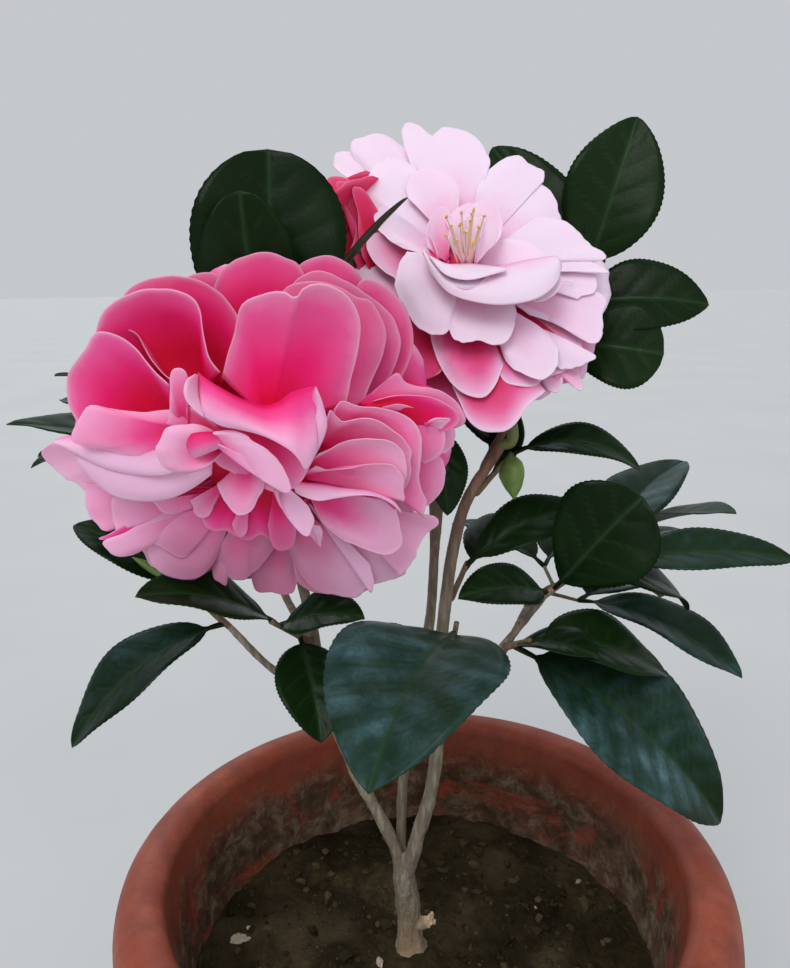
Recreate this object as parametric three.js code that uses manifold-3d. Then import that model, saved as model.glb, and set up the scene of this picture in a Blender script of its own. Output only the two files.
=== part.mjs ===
// Camellia shrub in a round rolled-rim pot, in millimetres, +Z up.
// The origin is the centre of the pot's flat underside, and the plant's front faces -Y.
import * as THREE from "three";
import { mergeVertices } from "three/addons/utils/BufferGeometryUtils.js";
import Module from "manifold-3d";

const wasm = await Module();
wasm.setup();

// Pot and soil
const GAP = 0.3; // clear space between neighbouring pieces
const POT_HEIGHT = 225;
const POT_FOOT_RADIUS = 92;
const POT_FOOT_BEVEL = 3;
const POT_FLOOR = 15;
const POT_SIDES = 38;
const RIM_RADIUS = 140; // outermost line of the rolled rim
const RIM_CREST_RADIUS = 126; // where the rim is highest
const RIM_OUTER_DROP = 18; // from the crest down to the outermost line
const RIM_INNER_DROP = 8;
const MOUTH_RADIUS = 117;
const RIM_UNDER_TURN = 35; // degrees that the rolled rim goes on below its outermost line
const COLLAR_DEPTH = 29; // from the crest down to the collar's lower edge
const NECK_RADIUS = 129; // wall just under the collar
const INNER_FOOT_RADIUS = 84;
const SOIL_TOP = 165;
const SOIL_CLOD = 2.2; // how far the soil's surface rises and falls
const SOIL_WAVES = [9, 7.5, 13]; // lengths of its waves
const SOIL_RINGS = [1, 0.86, 0.7, 0.54, 0.38]; // of the soil's radius
const SOIL_LEVEL_SPOT = 24; // radius of the level middle, which the trunk stands on
const SOIL_LEVEL_FADE = 12;

// Leaves and petals
const LEAF_STALK_SHARE = 0.1; // of a leaf's length
const LEAF_STALK_WIDTH = 2.4;
const LEAF_THICKNESS = 1.2;
const LEAF_FOLD = 14; // degrees that each half rises from the midrib
const LEAF_POINTED = [0.85, 0.7]; // where a leaf is broadest and how round it is: see leafHalfWidth
const LEAF_BLUNT = [1.5, 0.5];
const LEAF_STATIONS = [0, 0.12, 0.3, 0.55, 0.82, 1];
const BLUNT_STATIONS = [0, 0.12, 0.32, 0.58, 0.8, 0.94, 1];
const PETAL_THICKNESS = 1.1;
const PETAL_FOOT = 0.14; // width of a petal's foot as a share of its full width
const PETAL_ROOT_RADIUS = 5.5;
const PETAL_SHOULDER = 0.26; // how far its rounded corners fall back, as a share of its length
const PETAL_CORNER = 2.4; // a higher power keeps the corners' fall nearer to the edge
const PETAL_FULL = 0.72; // share of its length where it reaches its full width
const PETAL_NOTCH_WIDTH = 0.34; // of its half width
const HEART_RADIUS = 8; // the egg-shaped middle of a bloom, which the petals are rooted in
const HEART_BACK = 11; // how far it reaches behind the bloom's centre
const HEART_FRONT = 25;
const HEART_MEETS_STALK = 4; // how far the stalk reaches into the heart
const STALK_RADIUS = [2.1, 3];
const STALK_LEAD = 10; // how far a bloom's stalk keeps the direction of its stem

// Twigs of a mass
const STEM_LEAD = 0.35; // how far a mass's stem keeps its first direction, as a share of its length
const STEM_STRAIGHTNESS = 0.6; // 0 follows the first direction, 1 runs straight
const STEM_TIP_RADIUS = 1.1;
const TWIG_RADIUS = [1.1, 0.9];
const TWIG_ZONE = [0.3, 0.9]; // share of the stem that bears side twigs
const TWIG_LENGTH = [16, 26];
const TWIG_TURN = 137.5; // degrees round the stem from one twig to the next
const TWIG_FORWARD = 0.75; // along the stem, against one part outward
const TWIG_LIFT = 0.2;
const PAIR_SPREAD = 38; // degrees between a side twig and each of its leaves
const PAIR_LENGTH = [66, 88];
const PAIR_BREADTH = [0.42, 0.52]; // as a share of the leaf's length
const PAIR_BOW = 0.1;

const BUD_MIDDLE = 0.46; // of its length from its foot, so that the foot's tip sinks into the stem
const CURVE_STEP = 0.001;
const UPRIGHT = 0.8; // cosine over which a direction is too near an axis to be measured from it

const UP = new THREE.Vector3(0, 0, 1);
const DEGREE = Math.PI / 180;

// A limb is a list of places along its middle and its radius at both ends.
// The trunk's three short arms end where the stems begin.
const TRUNK_FOOT = [-6.5, 7.5, SOIL_TOP + GAP];
const TRUNK = { path: [TRUNK_FOOT, [-8, 5, 190], [-9.5, 1, 212]], radius: [5.9, 5.2], flare: 3 };
const FLARE_FADE = 9;
const TRUNK_CHIP = { path: [[-7, 6, 179], [0, 4, 181], [4.5, 3, 184]], radius: [3.6, 2.4] };
const STEMS = [
  {
    name: "stem_left",
    path: [[-9.5, 1, 209], [-15, 0, 230], [-31.5, 0, 267], [-43, 0, 303], [-49, -3, 345], [-55, -14, 384]],
    radius: [3.1, 2.2],
  },
  {
    name: "stem_middle",
    path: [[-9.5, 2, 209], [-10.5, 7, 232], [-8, 9, 268], [3, 17, 325], [6, 26, 380], [0, 33, 428]],
    radius: [2.5, 2.1],
  },
  {
    name: "stem_right",
    path: [[-9.5, 1, 209], [-4.5, -1.5, 228], [5, -2, 268], [8, 0, 330], [16, 0, 385], [33, 2, 416]],
    radius: [3.7, 2.2],
  },
];
const ARM_SHARE = 0.22; // of a stem's path, fused to the trunk

// Boughs leave a stem at a share of its path and keep their own line from there.
const BOUGHS = [
  {
    name: "bough_left", stem: "stem_left", at: 0.62,
    to: [-84, -2, 338], bend: [0, 0, -5], radius: [2, 1.5],
  },
  {
    name: "bough_rear_left", stem: "stem_left", at: 0.7,
    to: [-84, 52, 378], bend: [0, 4, -6], radius: [2, 1.5],
  },
  {
    name: "bough_right", stem: "stem_right", at: 0.52,
    to: [52, 0, 349], bend: [0, 0, -4], radius: [2.1, 1.6],
  },
  {
    name: "bough_rear_right", stem: "stem_right", at: 0.5,
    to: [54, 56, 322], bend: [4, 0, -5], radius: [2, 1.5],
  },
  {
    name: "bough_rear", stem: "stem_middle", at: 0.56,
    to: [14, 74, 396], bend: [0, 3, -6], radius: [1.9, 1.5],
  },
];

// A mass is one stem that starts on a limb (at its tip when no share is given), its leaves and buds,
// and a few side twigs with a pair of leaves each that follow one seeded rule.
// A leaf row: share of the stem, heading, rise, length, width, bow, the way its face is turned, and whether
// its tip is blunt.
// A bud row: share of the stem, heading, rise, length, width.
const MASSES = [
  {
    name: "leaves_crown_left", on: "stem_left", at: 0.9, to: [-62, -8, 436],
    radius: 1.7, seed: 11, twigs: 0,
    leaves: [
      [0.97, 84, 86, 98, 60, 0.12, [0.1, -1, 0], true],
      [0.75, -116, 83, 100, 38, -0.08, [0.2, -1, 0], true],
      [0.99, -28, 50, 98, 24, 0.05, [-0.8, 0, 0.45]],
      [0.4, -168, 22, 112, 38, 0.08, [0, 0, 1]],
      [0.6, 150, 40, 84, 38, 0.1, [0, 0, 1]],
    ],
    buds: [],
  },
  {
    name: "leaves_crown_right", on: "stem_right", at: 0.93, to: [76, 50, 483],
    radius: 1.7, seed: 5, twigs: 0,
    leaves: [
      [1, 20, 71, 72, 44, 0.05, [-0.2, -1, 0.1]],
      [0.87, -13, -2, 58, 36, 0.08, [0.1, -0.9, 0.5]],
      [0.68, -18, -4, 48, 40, 0.06, [0.2, -0.9, 0.4], true],
      [0.95, 152, 54, 76, 38, 0.05, [0, -1, 0.3]],
      [0.8, 70, 38, 76, 36, 0.1, [0, 0, 1]],
    ],
    buds: [],
  },
  {
    name: "leaves_middle_right", on: "stem_right", at: 0.86, to: [39, 12, 410],
    radius: 1.5, seed: 8, twigs: 0,
    leaves: [
      [1, -5, -9, 55, 21, 0.2, [0, -0.5, 0.9]],
      [0.55, 60, 44, 34, 15, 0.05, [0, -1, 0.5]],
      [0.8, 112, 24, 66, 30, 0.1, [0, 0, 1]],
    ],
    buds: [[0.95, -80, -72, 19, 12]],
  },
  {
    name: "leaves_heart", on: "stem_middle", at: 0.84, to: [6, 6, 424],
    radius: 1.4, seed: 3, twigs: 0,
    leaves: [
      [1, -78, -58, 40, 20, 0.05, [0.3, -0.9, 0]],
      [0.7, 160, 24, 66, 32, 0.1, [0, 0, 1]],
    ],
    buds: [],
  },
  {
    name: "leaves_middle", on: "stem_right", at: 0.66, to: [20, 10, 362],
    radius: 1.4, seed: 9, twigs: 0,
    leaves: [
      [0.9, 16, 20, 62, 26, 0.14, [0, -0.5, 0.9]],
      [0.8, 52, 4, 70, 32, 0.1, [0, 0, 1]],
    ],
    buds: [],
  },
  {
    name: "leaves_right", on: "bough_right", to: [82, 8, 360],
    radius: 1.5, seed: 21, twigs: 0,
    leaves: [
      [0.95, -2, 1, 82, 26, 0.08, [0, -0.4, 0.9]],
      [0.15, -20, 50, 56, 47, 0.06, [-0.2, -0.9, 0.4], true],
      [0.05, -152, 8, 46, 26, 0.1, [0, -0.5, 0.9]],
      [0.6, 24, -24, 70, 28, 0.14, [0, -0.4, 0.9]],
      [0.8, 70, 12, 72, 34, 0.1, [0, 0, 1]],
    ],
    buds: [[0.45, -50, 10, 17, 3.4]],
  },
  {
    name: "leaves_lower_right", on: "bough_right", at: 0.6, to: [44, -16, 336],
    radius: 1.6, seed: 30, twigs: 0,
    leaves: [
      [0.3, -17, -39, 114, 60, 0.1, [0.3, -0.5, 0.8]],
      [0.9, 8, -18, 66, 42, 0.1, [0.4, -0.2, 0.9]],
      [0.3, -40, 8, 40, 26, 0.1, [0.2, -0.2, 1]],
    ],
    buds: [],
  },
  {
    name: "leaves_front", on: "stem_right", at: 0.5, to: [13, -20, 346],
    radius: 1.7, seed: 40, twigs: 0,
    leaves: [
      [0.9, -110, -9, 96, 66, 0.14, [0, -0.3, 1]],
      [0.6, -160, 12, 56, 32, 0.1, [0, -0.3, 1]],
    ],
    buds: [],
  },
  {
    name: "leaves_lower_left", on: "bough_left", to: [-106, -8, 362],
    radius: 1.5, seed: 52, twigs: 0,
    leaves: [
      [0.05, -155, -31, 78, 34, 0.14, [-0.3, -0.4, 0.9]],
      [0.8, 165, 27, 56, 28, 0.1, [0, -0.3, 1]],
      [0.5, 110, 14, 70, 34, 0.1, [0, 0, 1]],
    ],
    buds: [[1, -168, 37, 18, 5]],
  },
  {
    name: "leaves_under", on: "stem_left", at: 0.74, to: [-62, -26, 350],
    radius: 1.6, seed: 61, twigs: 0,
    leaves: [
      [0.9, -146, 24, 60, 34, 0.1, [0, -0.3, 1]],
      [0.3, -74, -36, 48, 30, 0.08, [0.2, -0.6, 0.8]],
      [0.8, -26, 14, 40, 26, 0.1, [0, -0.4, 0.9]],
    ],
    buds: [],
  },
  {
    name: "leaves_rear_left", on: "bough_rear_left", to: [-116, 74, 412],
    radius: 1.6, seed: 91637, twigs: 3,
    leaves: [
      [1, 168, 20, 74, 34, 0.1, [0, 0, 1]],
      [0.8, -160, -4, 78, 36, 0.1, [0, 0, 1]],
    ],
    buds: [],
  },
  {
    name: "leaves_rear_right", on: "bough_rear_right", to: [86, 86, 326],
    radius: 1.6, seed: 175078, twigs: 3,
    leaves: [[1, 30, 10, 80, 38, 0.1, [0, 0, 1]]],
    buds: [],
  },
  {
    name: "leaves_rear", on: "bough_rear", to: [22, 110, 440],
    radius: 1.6, seed: 117853, twigs: 4,
    leaves: [[1, 80, 50, 82, 38, 0.1, [0, 0, 1]]],
    buds: [],
  },
];

// A bloom is a heart on a stalk, with petals round an axis.
// A petal row: turn round the axis, opening from it, bend, length, width, cup, notch, lift.
// A ring's lengths go round in equal turns from the right-hand side, and its openings and lifts alternate.
const BLOOMS = [
  {
    name: "bloom_front",
    centre: [-59, -52, 423],
    axis: [0.03, -0.98, -0.17],
    from: "stem_left",
    petals: [
      ...ring(12, 2, [98, 105], 10, [72, 76, 69, 73, 70, 57, 53, 62], [50, 18, 0.04], [-3, -7]),
      ...ring(10, 10, [74, 84], 6, [63, 65, 60, 65, 62, 52, 46, 56], [45, 24, 0.04], [7, 2]),
      [78, 66, 14, 58, 52, 20, 0.14, 12],
      ...ring(5, 16, [54, 46], -6, [46, 42, 42, 42, 40, 36, 36, 40], [38, 26, 0.04], [13, 16]),
    ],
  },
  {
    name: "bloom_upper",
    centre: [20, 6, 485],
    axis: [-0.08, -0.77, 0.63],
    from: "stem_right",
    petals: [
      ...ring(10, 8, [98, 107], 10, [56, 57, 63, 67, 60, 58, 62, 58], [45, 14, 0.04], [-7, -11]),
      ...ring(8, 24, [76, 86], 10, [57, 55, 62, 64, 59, 53, 53, 55], [44, 14, 0.07], [4, 0]),
      ...ring(5, 20, [50, 58], 10, [44, 44, 44, 42, 42, 42, 40, 40], [38, 22, 0.06], [10, 13]),
    ],
  },
  {
    name: "bloom_rear",
    centre: [-28, 51, 482],
    axis: [-0.6, 0.7, 0.38],
    from: "stem_middle",
    petals: [
      ...ring(6, 10, [100, 92], 10, [44], [43, 20, 0.04], [-6, -2]),
      ...ring(4, 40, [60, 54], 10, [36], [34, 20, 0.04], [8, 10]),
    ],
  },
];

// A ring of petals round a bloom's axis, as rows.
function ring(count, first, openings, bend, lengths, form, lifts) {
  return Array.from({ length: count }, (_, i) => {
    const turn = first + (360 * i) / count;
    const place = (turn / 360) * lengths.length;
    const before = lengths[Math.floor(place) % lengths.length];
    const after = lengths[Math.ceil(place) % lengths.length];
    const length = THREE.MathUtils.lerp(before, after, place % 1);
    return [turn, openings[i % 2], bend, length, ...form, lifts[i % 2]];
  });
}

// Repeatable random numbers from 0 to 1.
function seeded(seed) {
  let state = seed;
  return () => {
    state = (state * 16807) % 2147483647;
    return state / 2147483647;
  };
}

function vector(place) {
  return new THREE.Vector3(...place);
}

// A unit vector from a heading (0 along +X, 90 along +Y) and a rise over the level, in degrees.
function direction(heading, rise) {
  const flat = Math.cos(rise * DEGREE);
  return new THREE.Vector3(
    flat * Math.cos(heading * DEGREE), flat * Math.sin(heading * DEGREE), Math.sin(rise * DEGREE));
}

// The part of v that is square to the unit vector n, made a unit vector.
function squareTo(v, n) {
  return v.clone().addScaledVector(n, -v.dot(n)).normalize();
}

// A closed block or cylinder with its vertices moved to new places, as a solid.
function shaped(block, place) {
  block.deleteAttribute("normal");
  block.deleteAttribute("uv");
  const mesh = mergeVertices(block, 1e-4);
  const at = mesh.attributes.position;
  for (let i = 0; i < at.count; i++) {
    const p = place(at.getX(i), at.getY(i), at.getZ(i));
    at.setXYZ(i, p.x, p.y, p.z);
  }
  return new wasm.Manifold(
    new wasm.Mesh({
      numProp: 3,
      vertProperties: at.array,
      triVerts: new Uint32Array(mesh.index.array),
    }),
  );
}

// Joined solids as one body: the largest outer skin, without sealed hollows or loose scraps.
function joined(solids) {
  const whole = solids.reduce((all, next) => all.add(next));
  return whole.decompose().sort((a, b) => b.volume() - a.volume())[0];
}

function meshOf(name, solid, material) {
  const made = solid.getMesh();
  const geometry = new THREE.BufferGeometry();
  geometry.setAttribute("position", new THREE.BufferAttribute(new Float32Array(made.vertProperties), 3));
  geometry.setIndex(new THREE.BufferAttribute(new Uint32Array(made.triVerts), 1));
  const mesh = new THREE.Mesh(geometry, material);
  mesh.name = name;
  return mesh;
}

// The pot's wall, floor and rolled rim, turned about its axis.
function pot() {
  const outerArc = new THREE.EllipseCurve(
    RIM_CREST_RADIUS, POT_HEIGHT - RIM_OUTER_DROP, RIM_RADIUS - RIM_CREST_RADIUS, RIM_OUTER_DROP,
    -RIM_UNDER_TURN * DEGREE, Math.PI / 2);
  const innerArc = new THREE.EllipseCurve(
    RIM_CREST_RADIUS, POT_HEIGHT - RIM_INNER_DROP, RIM_CREST_RADIUS - MOUTH_RADIUS, RIM_INNER_DROP,
    Math.PI / 2, Math.PI);
  const profile = [
    new THREE.Vector2(0, 0),
    new THREE.Vector2(POT_FOOT_RADIUS - POT_FOOT_BEVEL, 0),
    new THREE.Vector2(POT_FOOT_RADIUS, POT_FOOT_BEVEL),
    new THREE.Vector2(NECK_RADIUS, POT_HEIGHT - COLLAR_DEPTH),
    ...outerArc.getPoints(5),
    ...innerArc.getPoints(3).slice(1),
    new THREE.Vector2(soilRadius(SOIL_TOP) + GAP, SOIL_TOP),
    new THREE.Vector2(INNER_FOOT_RADIUS, POT_FLOOR),
    new THREE.Vector2(0, POT_FLOOR),
  ];
  return turned(new THREE.LatheGeometry(profile, POT_SIDES));
}

// A lathe form stands on +Y, so it is laid round to +Z.
function turned(lathe) {
  return shaped(lathe, (x, y, z) => new THREE.Vector3(x, -z, y));
}

// The soil's radius at a height, clear of the pot's inner wall.
function soilRadius(height) {
  const share = (height - POT_FLOOR) / (POT_HEIGHT - RIM_INNER_DROP - POT_FLOOR);
  return INNER_FOOT_RADIUS + share * (MOUTH_RADIUS - INNER_FOOT_RADIUS) - GAP;
}

// The soil fills the pot, with an uneven top that is level at the wall and where the trunk stands.
function soil() {
  const top = soilRadius(SOIL_TOP);
  const base = POT_FLOOR + GAP;
  const profile = [new THREE.Vector2(0, base), new THREE.Vector2(soilRadius(POT_FLOOR), base)];
  for (const share of [...SOIL_RINGS, SOIL_LEVEL_SPOT / top, 0])
    profile.push(new THREE.Vector2(share * top, SOIL_TOP));
  const lathe = new THREE.LatheGeometry(profile, POT_SIDES);
  return shaped(lathe, (x, y, z) => {
    const fromAxis = Math.hypot(x, z);
    const free = THREE.MathUtils.smoothstep(fromAxis, SOIL_LEVEL_SPOT, SOIL_LEVEL_SPOT + SOIL_LEVEL_FADE);
    const [long, short, slant] = SOIL_WAVES;
    const wave = Math.sin(x / long) * Math.cos(z / short) + 0.6 * Math.sin((x - 2 * z) / slant);
    const lifted = y === SOIL_TOP && fromAxis < top - 1;
    return new THREE.Vector3(x, -z, lifted ? y + free * SOIL_CLOD * wave : y);
  });
}

// A smooth curve through points in space.
function through(points) {
  return new THREE.CatmullRomCurve3(points, false, "catmullrom", 0.5);
}

// A round tapering limb along a curve from one share of its length to another.
function limb(curve, radius, sides, steps, share = [0, 1], flare = 0) {
  const along = curve.getPoint(1).sub(curve.getPoint(0)).normalize();
  const reference = Math.abs(along.y) < UPRIGHT ? new THREE.Vector3(0, 1, 0) : new THREE.Vector3(1, 0, 0);
  return shaped(new THREE.CylinderGeometry(1, 1, 1, sides, steps), (x, y, z) => {
    const t = THREE.MathUtils.lerp(share[0], share[1], y + 0.5);
    const middle = curve.getPoint(t);
    const tangent = flare && y === -0.5 ? UP.clone() : curve.getTangent(t);
    const across = squareTo(reference, tangent);
    const girth = THREE.MathUtils.lerp(radius[0], radius[1], t) + flare * Math.exp(-FLARE_FADE * (y + 0.5));
    return middle
      .addScaledVector(across, x * girth)
      .addScaledVector(across.clone().cross(tangent), z * girth);
  });
}

// The trunk: a flared foot cut flat on the soil, a broken stub, and an arm toward each stem.
function trunk() {
  const arms = STEMS.map((stem) => limb(through(stem.path.map(vector)), stem.radius, 7, 4, [0, ARM_SHARE]));
  const chip = limb(through(TRUNK_CHIP.path.map(vector)), TRUNK_CHIP.radius, 6, 2);
  const shaft = limb(through(TRUNK.path.map(vector)), TRUNK.radius, 10, 5, [0, 1], TRUNK.flare);
  return joined([shaft, chip, ...arms]);
}

// A leaf: a slender stalk, then a blade folded along its midrib and bowed from base to tip.
function leaf(base, aim, length, width, bow, face, blunt) {
  const normal = squareTo(face, aim);
  const side = aim.clone().cross(normal);
  const stations = blunt ? BLUNT_STATIONS : LEAF_STATIONS;
  const steps = stations.length - 1;
  return shaped(new THREE.BoxGeometry(2, 1, 1, 2, steps, 1), (x, y, z) => {
    const s = stations[Math.round((y + 0.5) * steps)];
    const half = leafHalfWidth(s, width, blunt);
    const thick = s < LEAF_STALK_SHARE ? LEAF_STALK_WIDTH : LEAF_THICKNESS;
    const rise = Math.abs(x) * half * Math.sin(LEAF_FOLD * DEGREE) + bow * length * 4 * s * (1 - s);
    return base
      .clone()
      .addScaledVector(aim, s * length)
      .addScaledVector(side, x * half * Math.cos(LEAF_FOLD * DEGREE))
      .addScaledVector(normal, rise + z * thick);
  });
}

// Half the width of a leaf at a share of its length: stalk, broad blade, drawn-out or blunt tip.
function leafHalfWidth(s, width, blunt) {
  const t = Math.max(0, (s - LEAF_STALK_SHARE) / (1 - LEAF_STALK_SHARE));
  const [shift, roundness] = blunt ? LEAF_BLUNT : LEAF_POINTED;
  const blade = (width / 2) * Math.sin(Math.PI * t ** shift) ** roundness;
  return Math.max(LEAF_STALK_WIDTH / 2, s === 1 ? 0 : blade);
}

// A petal: rooted at the calyx, fanning out, cupped across and bent along its length.
function petal(bloom, row) {
  const [turn, open, bend, length, width, cup, notch, lift] = row;
  const out = bloom.right
    .clone()
    .multiplyScalar(Math.cos(turn * DEGREE))
    .addScaledVector(bloom.above, Math.sin(turn * DEGREE));
  const side = out.clone().cross(bloom.axis);
  const root = bloom.centre
    .clone()
    .addScaledVector(out, PETAL_ROOT_RADIUS)
    .addScaledVector(bloom.axis, lift);
  return shaped(new THREE.BoxGeometry(2, 1, 1, 2, 4, 1), (x, y, z) => {
    const s = (y + 0.5) * petalReach(x, y + 0.5, notch);
    const angle = (open + bend * (s - 0.5)) * DEGREE;
    const chord = (open + bend * (s / 2 - 0.5)) * DEGREE;
    const half = petalHalfWidth(s, width);
    const curl = cup * DEGREE;
    const inward = (half * (1 - Math.cos(x * curl))) / curl + z * PETAL_THICKNESS;
    return root
      .clone()
      .addScaledVector(bloom.axis, length * s * Math.cos(chord) + inward * Math.sin(angle))
      .addScaledVector(out, length * s * Math.sin(chord) - inward * Math.cos(angle))
      .addScaledVector(side, (half * Math.sin(x * curl)) / curl);
  });
}

// How far a petal reaches at a place across it: rounded corners and a notch in the middle.
function petalReach(x, s, notch) {
  const corner = PETAL_SHOULDER * Math.abs(x) ** PETAL_CORNER;
  return 1 - s * (corner + notch * Math.exp(-((x / PETAL_NOTCH_WIDTH) ** 2)));
}

function petalHalfWidth(s, width) {
  const fan = Math.sin((Math.PI / 2) * Math.min(1, s / PETAL_FULL));
  return (width / 2) * (PETAL_FOOT + (1 - PETAL_FOOT) * fan);
}

// The bloom's axis, its right and its upper side as seen from the front.
function bloomFrame(row) {
  const axis = vector(row.axis).normalize();
  const above = squareTo(UP, axis);
  return { centre: vector(row.centre), axis, above, right: above.clone().cross(axis) };
}

function bloom(row, tip) {
  const frame = bloomFrame(row);
  const half = (HEART_BACK + HEART_FRONT) / 2;
  const heart = shaped(new THREE.SphereGeometry(1, 8, 6), (x, y, z) =>
    frame.centre
      .clone()
      .addScaledVector(frame.axis, (HEART_FRONT - HEART_BACK) / 2 + y * half)
      .addScaledVector(frame.right, x * HEART_RADIUS)
      .addScaledVector(frame.above, -z * HEART_RADIUS));
  const start = tip.end.clone().addScaledVector(tip.along, GAP);
  const bend = start.clone().addScaledVector(tip.along, STALK_LEAD);
  const back = frame.centre.clone().addScaledVector(frame.axis, HEART_MEETS_STALK - HEART_BACK);
  const stalk = limb(through([start, bend, back]), STALK_RADIUS, 6, 4);
  return joined([heart, stalk, ...row.petals.map((one) => petal(frame, one))]);
}

// The share of a curve that lies a gap further on.
function afterGap(curve, share) {
  const speed = curve.getPoint(share).distanceTo(curve.getPoint(share + CURVE_STEP)) / CURVE_STEP;
  return share + GAP / speed;
}

// The place where a limb's curve ends and the direction it has there.
function tipOf(curve) {
  return { end: curve.getPoint(1), along: curve.getTangent(1) };
}

// The start of a piece that leaves the side of a limb toward a point, clear of its bark.
function sideStart(limbRow, curve, at, toward, ownRadius) {
  const middle = curve.getPoint(at);
  const tangent = curve.getTangent(at);
  const aim = toward.clone().sub(middle).normalize();
  const girth = THREE.MathUtils.lerp(limbRow.radius[0], limbRow.radius[1], at);
  const dip = ownRadius * Math.abs(aim.dot(tangent));
  return middle.addScaledVector(squareTo(aim, tangent), girth + GAP + dip);
}

// The start of a piece that goes on from a limb's tip toward a point.
function tipStart(tip, toward, ownRadius) {
  const turn = tip.along.angleTo(toward.clone().sub(tip.end));
  return tip.end.clone().addScaledVector(tip.along, GAP + ownRadius * Math.sin(turn));
}

// Twigs and leaves of one mass. Whatever would touch a piece that is already there is skipped.
function mass(row, start, along, taken) {
  const to = vector(row.to);
  const halfway = start.clone().lerp(to, 0.5);
  const bend = start.clone().addScaledVector(along, STEM_LEAD * start.distanceTo(to));
  const curve = through([start, bend.lerp(halfway, STEM_STRAIGHTNESS), to]);
  const solids = [limb(curve, [row.radius, STEM_TIP_RADIUS], 3, 4)];
  const skipped = [];
  const keep = (label, solid) => {
    const touched = taken.find((other) => solid.minGap(other.solid, 2 * GAP) < GAP);
    if (touched) skipped.push(label + " touches " + touched.name);
    else solids.push(solid);
    return !touched;
  };
  row.buds.forEach(([at, heading, rise, length, width], i) => {
    keep("bud " + i, bud(curve.getPoint(at), direction(heading, rise), length, width));
  });
  row.leaves.forEach(([at, heading, rise, length, width, bow, face, blunt], i) => {
    const aim = direction(heading, rise);
    keep("leaf " + i, leaf(curve.getPoint(at), aim, length, width, bow, vector(face), blunt));
  });
  const random = seeded(row.seed);
  const between = (range) => THREE.MathUtils.lerp(range[0], range[1], random());
  const firstTurn = 360 * random();
  for (let i = 0; i < row.twigs; i++) {
    const at = THREE.MathUtils.lerp(TWIG_ZONE[0], TWIG_ZONE[1], (i + 0.5) / row.twigs);
    const foot = curve.getPoint(at);
    const aim = twigAim(curve.getTangent(at), firstTurn + TWIG_TURN * i);
    const tip = foot.clone().addScaledVector(aim, between(TWIG_LENGTH));
    const twig = limb(new THREE.LineCurve3(foot, tip), TWIG_RADIUS, 3, 1);
    if (!keep("twig " + i, twig)) continue;
    const sideways = squareTo(UP, aim).cross(aim);
    for (const hand of [-1, 1]) {
      const reach = aim
        .clone()
        .multiplyScalar(Math.cos(PAIR_SPREAD * DEGREE))
        .addScaledVector(sideways, hand * Math.sin(PAIR_SPREAD * DEGREE));
      const length = between(PAIR_LENGTH);
      keep("pair " + i, leaf(tip, reach, length, length * between(PAIR_BREADTH), PAIR_BOW, UP));
    }
  }
  return { solid: joined(solids), skipped };
}

// The direction of a side twig: outward at a turn round the stem, drawn forward and a little up.
function twigAim(tangent, turn) {
  const around = squareTo(Math.abs(tangent.z) < UPRIGHT ? UP : new THREE.Vector3(1, 0, 0), tangent);
  return around
    .clone()
    .multiplyScalar(Math.cos(turn * DEGREE))
    .addScaledVector(tangent.clone().cross(around), Math.sin(turn * DEGREE))
    .addScaledVector(tangent, TWIG_FORWARD)
    .addScaledVector(UP, TWIG_LIFT)
    .normalize();
}

// An egg-shaped bud that hangs on by its narrow foot.
function bud(base, aim, length, width) {
  const side = squareTo(Math.abs(aim.z) < UPRIGHT ? UP : new THREE.Vector3(1, 0, 0), aim);
  const across = side.clone().cross(aim);
  return shaped(new THREE.SphereGeometry(1, 6, 5), (x, y, z) =>
    base
      .clone()
      .addScaledVector(aim, (BUD_MIDDLE + y / 2) * length)
      .addScaledVector(side, (x * width) / 2)
      .addScaledVector(across, (z * width) / 2));
}

const materials = {
  clay: new THREE.MeshStandardMaterial({ color: "#a34a35", roughness: 0.75 }),
  soil: new THREE.MeshStandardMaterial({ color: "#3b3029", roughness: 1 }),
  bark: new THREE.MeshStandardMaterial({ color: "#a08a76", roughness: 0.9 }),
  leaf: new THREE.MeshStandardMaterial({ color: "#15331d", roughness: 0.35 }),
  petal_pink: new THREE.MeshStandardMaterial({ color: "#ea5c92", roughness: 0.6 }),
  petal_pale: new THREE.MeshStandardMaterial({ color: "#f3cfdd", roughness: 0.6 }),
  petal_deep: new THREE.MeshStandardMaterial({ color: "#b5184a", roughness: 0.6 }),
};

const plant = new THREE.Group();
const taken = [];

function place(name, solid, material) {
  const mesh = meshOf(name, solid, material);
  plant.add(mesh);
  taken.push({ name, solid });
  return mesh;
}

place("pot", pot(), materials.clay);
place("soil", soil(), materials.soil);
place("trunk", trunk(), materials.bark);

const limbs = new Map();
for (const row of STEMS) {
  const curve = through(row.path.map(vector));
  limbs.set(row.name, { row, curve });
  place(row.name, limb(curve, row.radius, 7, 10, [afterGap(curve, ARM_SHARE), 1]), materials.bark);
}
for (const row of BOUGHS) {
  const stem = limbs.get(row.stem);
  const to = vector(row.to);
  const leave = stem.curve.getPoint(row.at).lerp(to, 0.5).add(vector(row.bend));
  const start = sideStart(stem.row, stem.curve, row.at, leave, row.radius[0]);
  const middle = start.clone().lerp(to, 0.5).add(vector(row.bend));
  const curve = through([start, middle, to]);
  limbs.set(row.name, { row, curve });
  place(row.name, limb(curve, row.radius, 6, 5), materials.bark);
}

const petalMaterial = {
  bloom_front: materials.petal_pink,
  bloom_upper: materials.petal_pale,
  bloom_rear: materials.petal_deep,
};
for (const row of BLOOMS) {
  const tip = tipOf(limbs.get(row.from).curve);
  place(row.name, bloom(row, tip), petalMaterial[row.name]);
}

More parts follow.
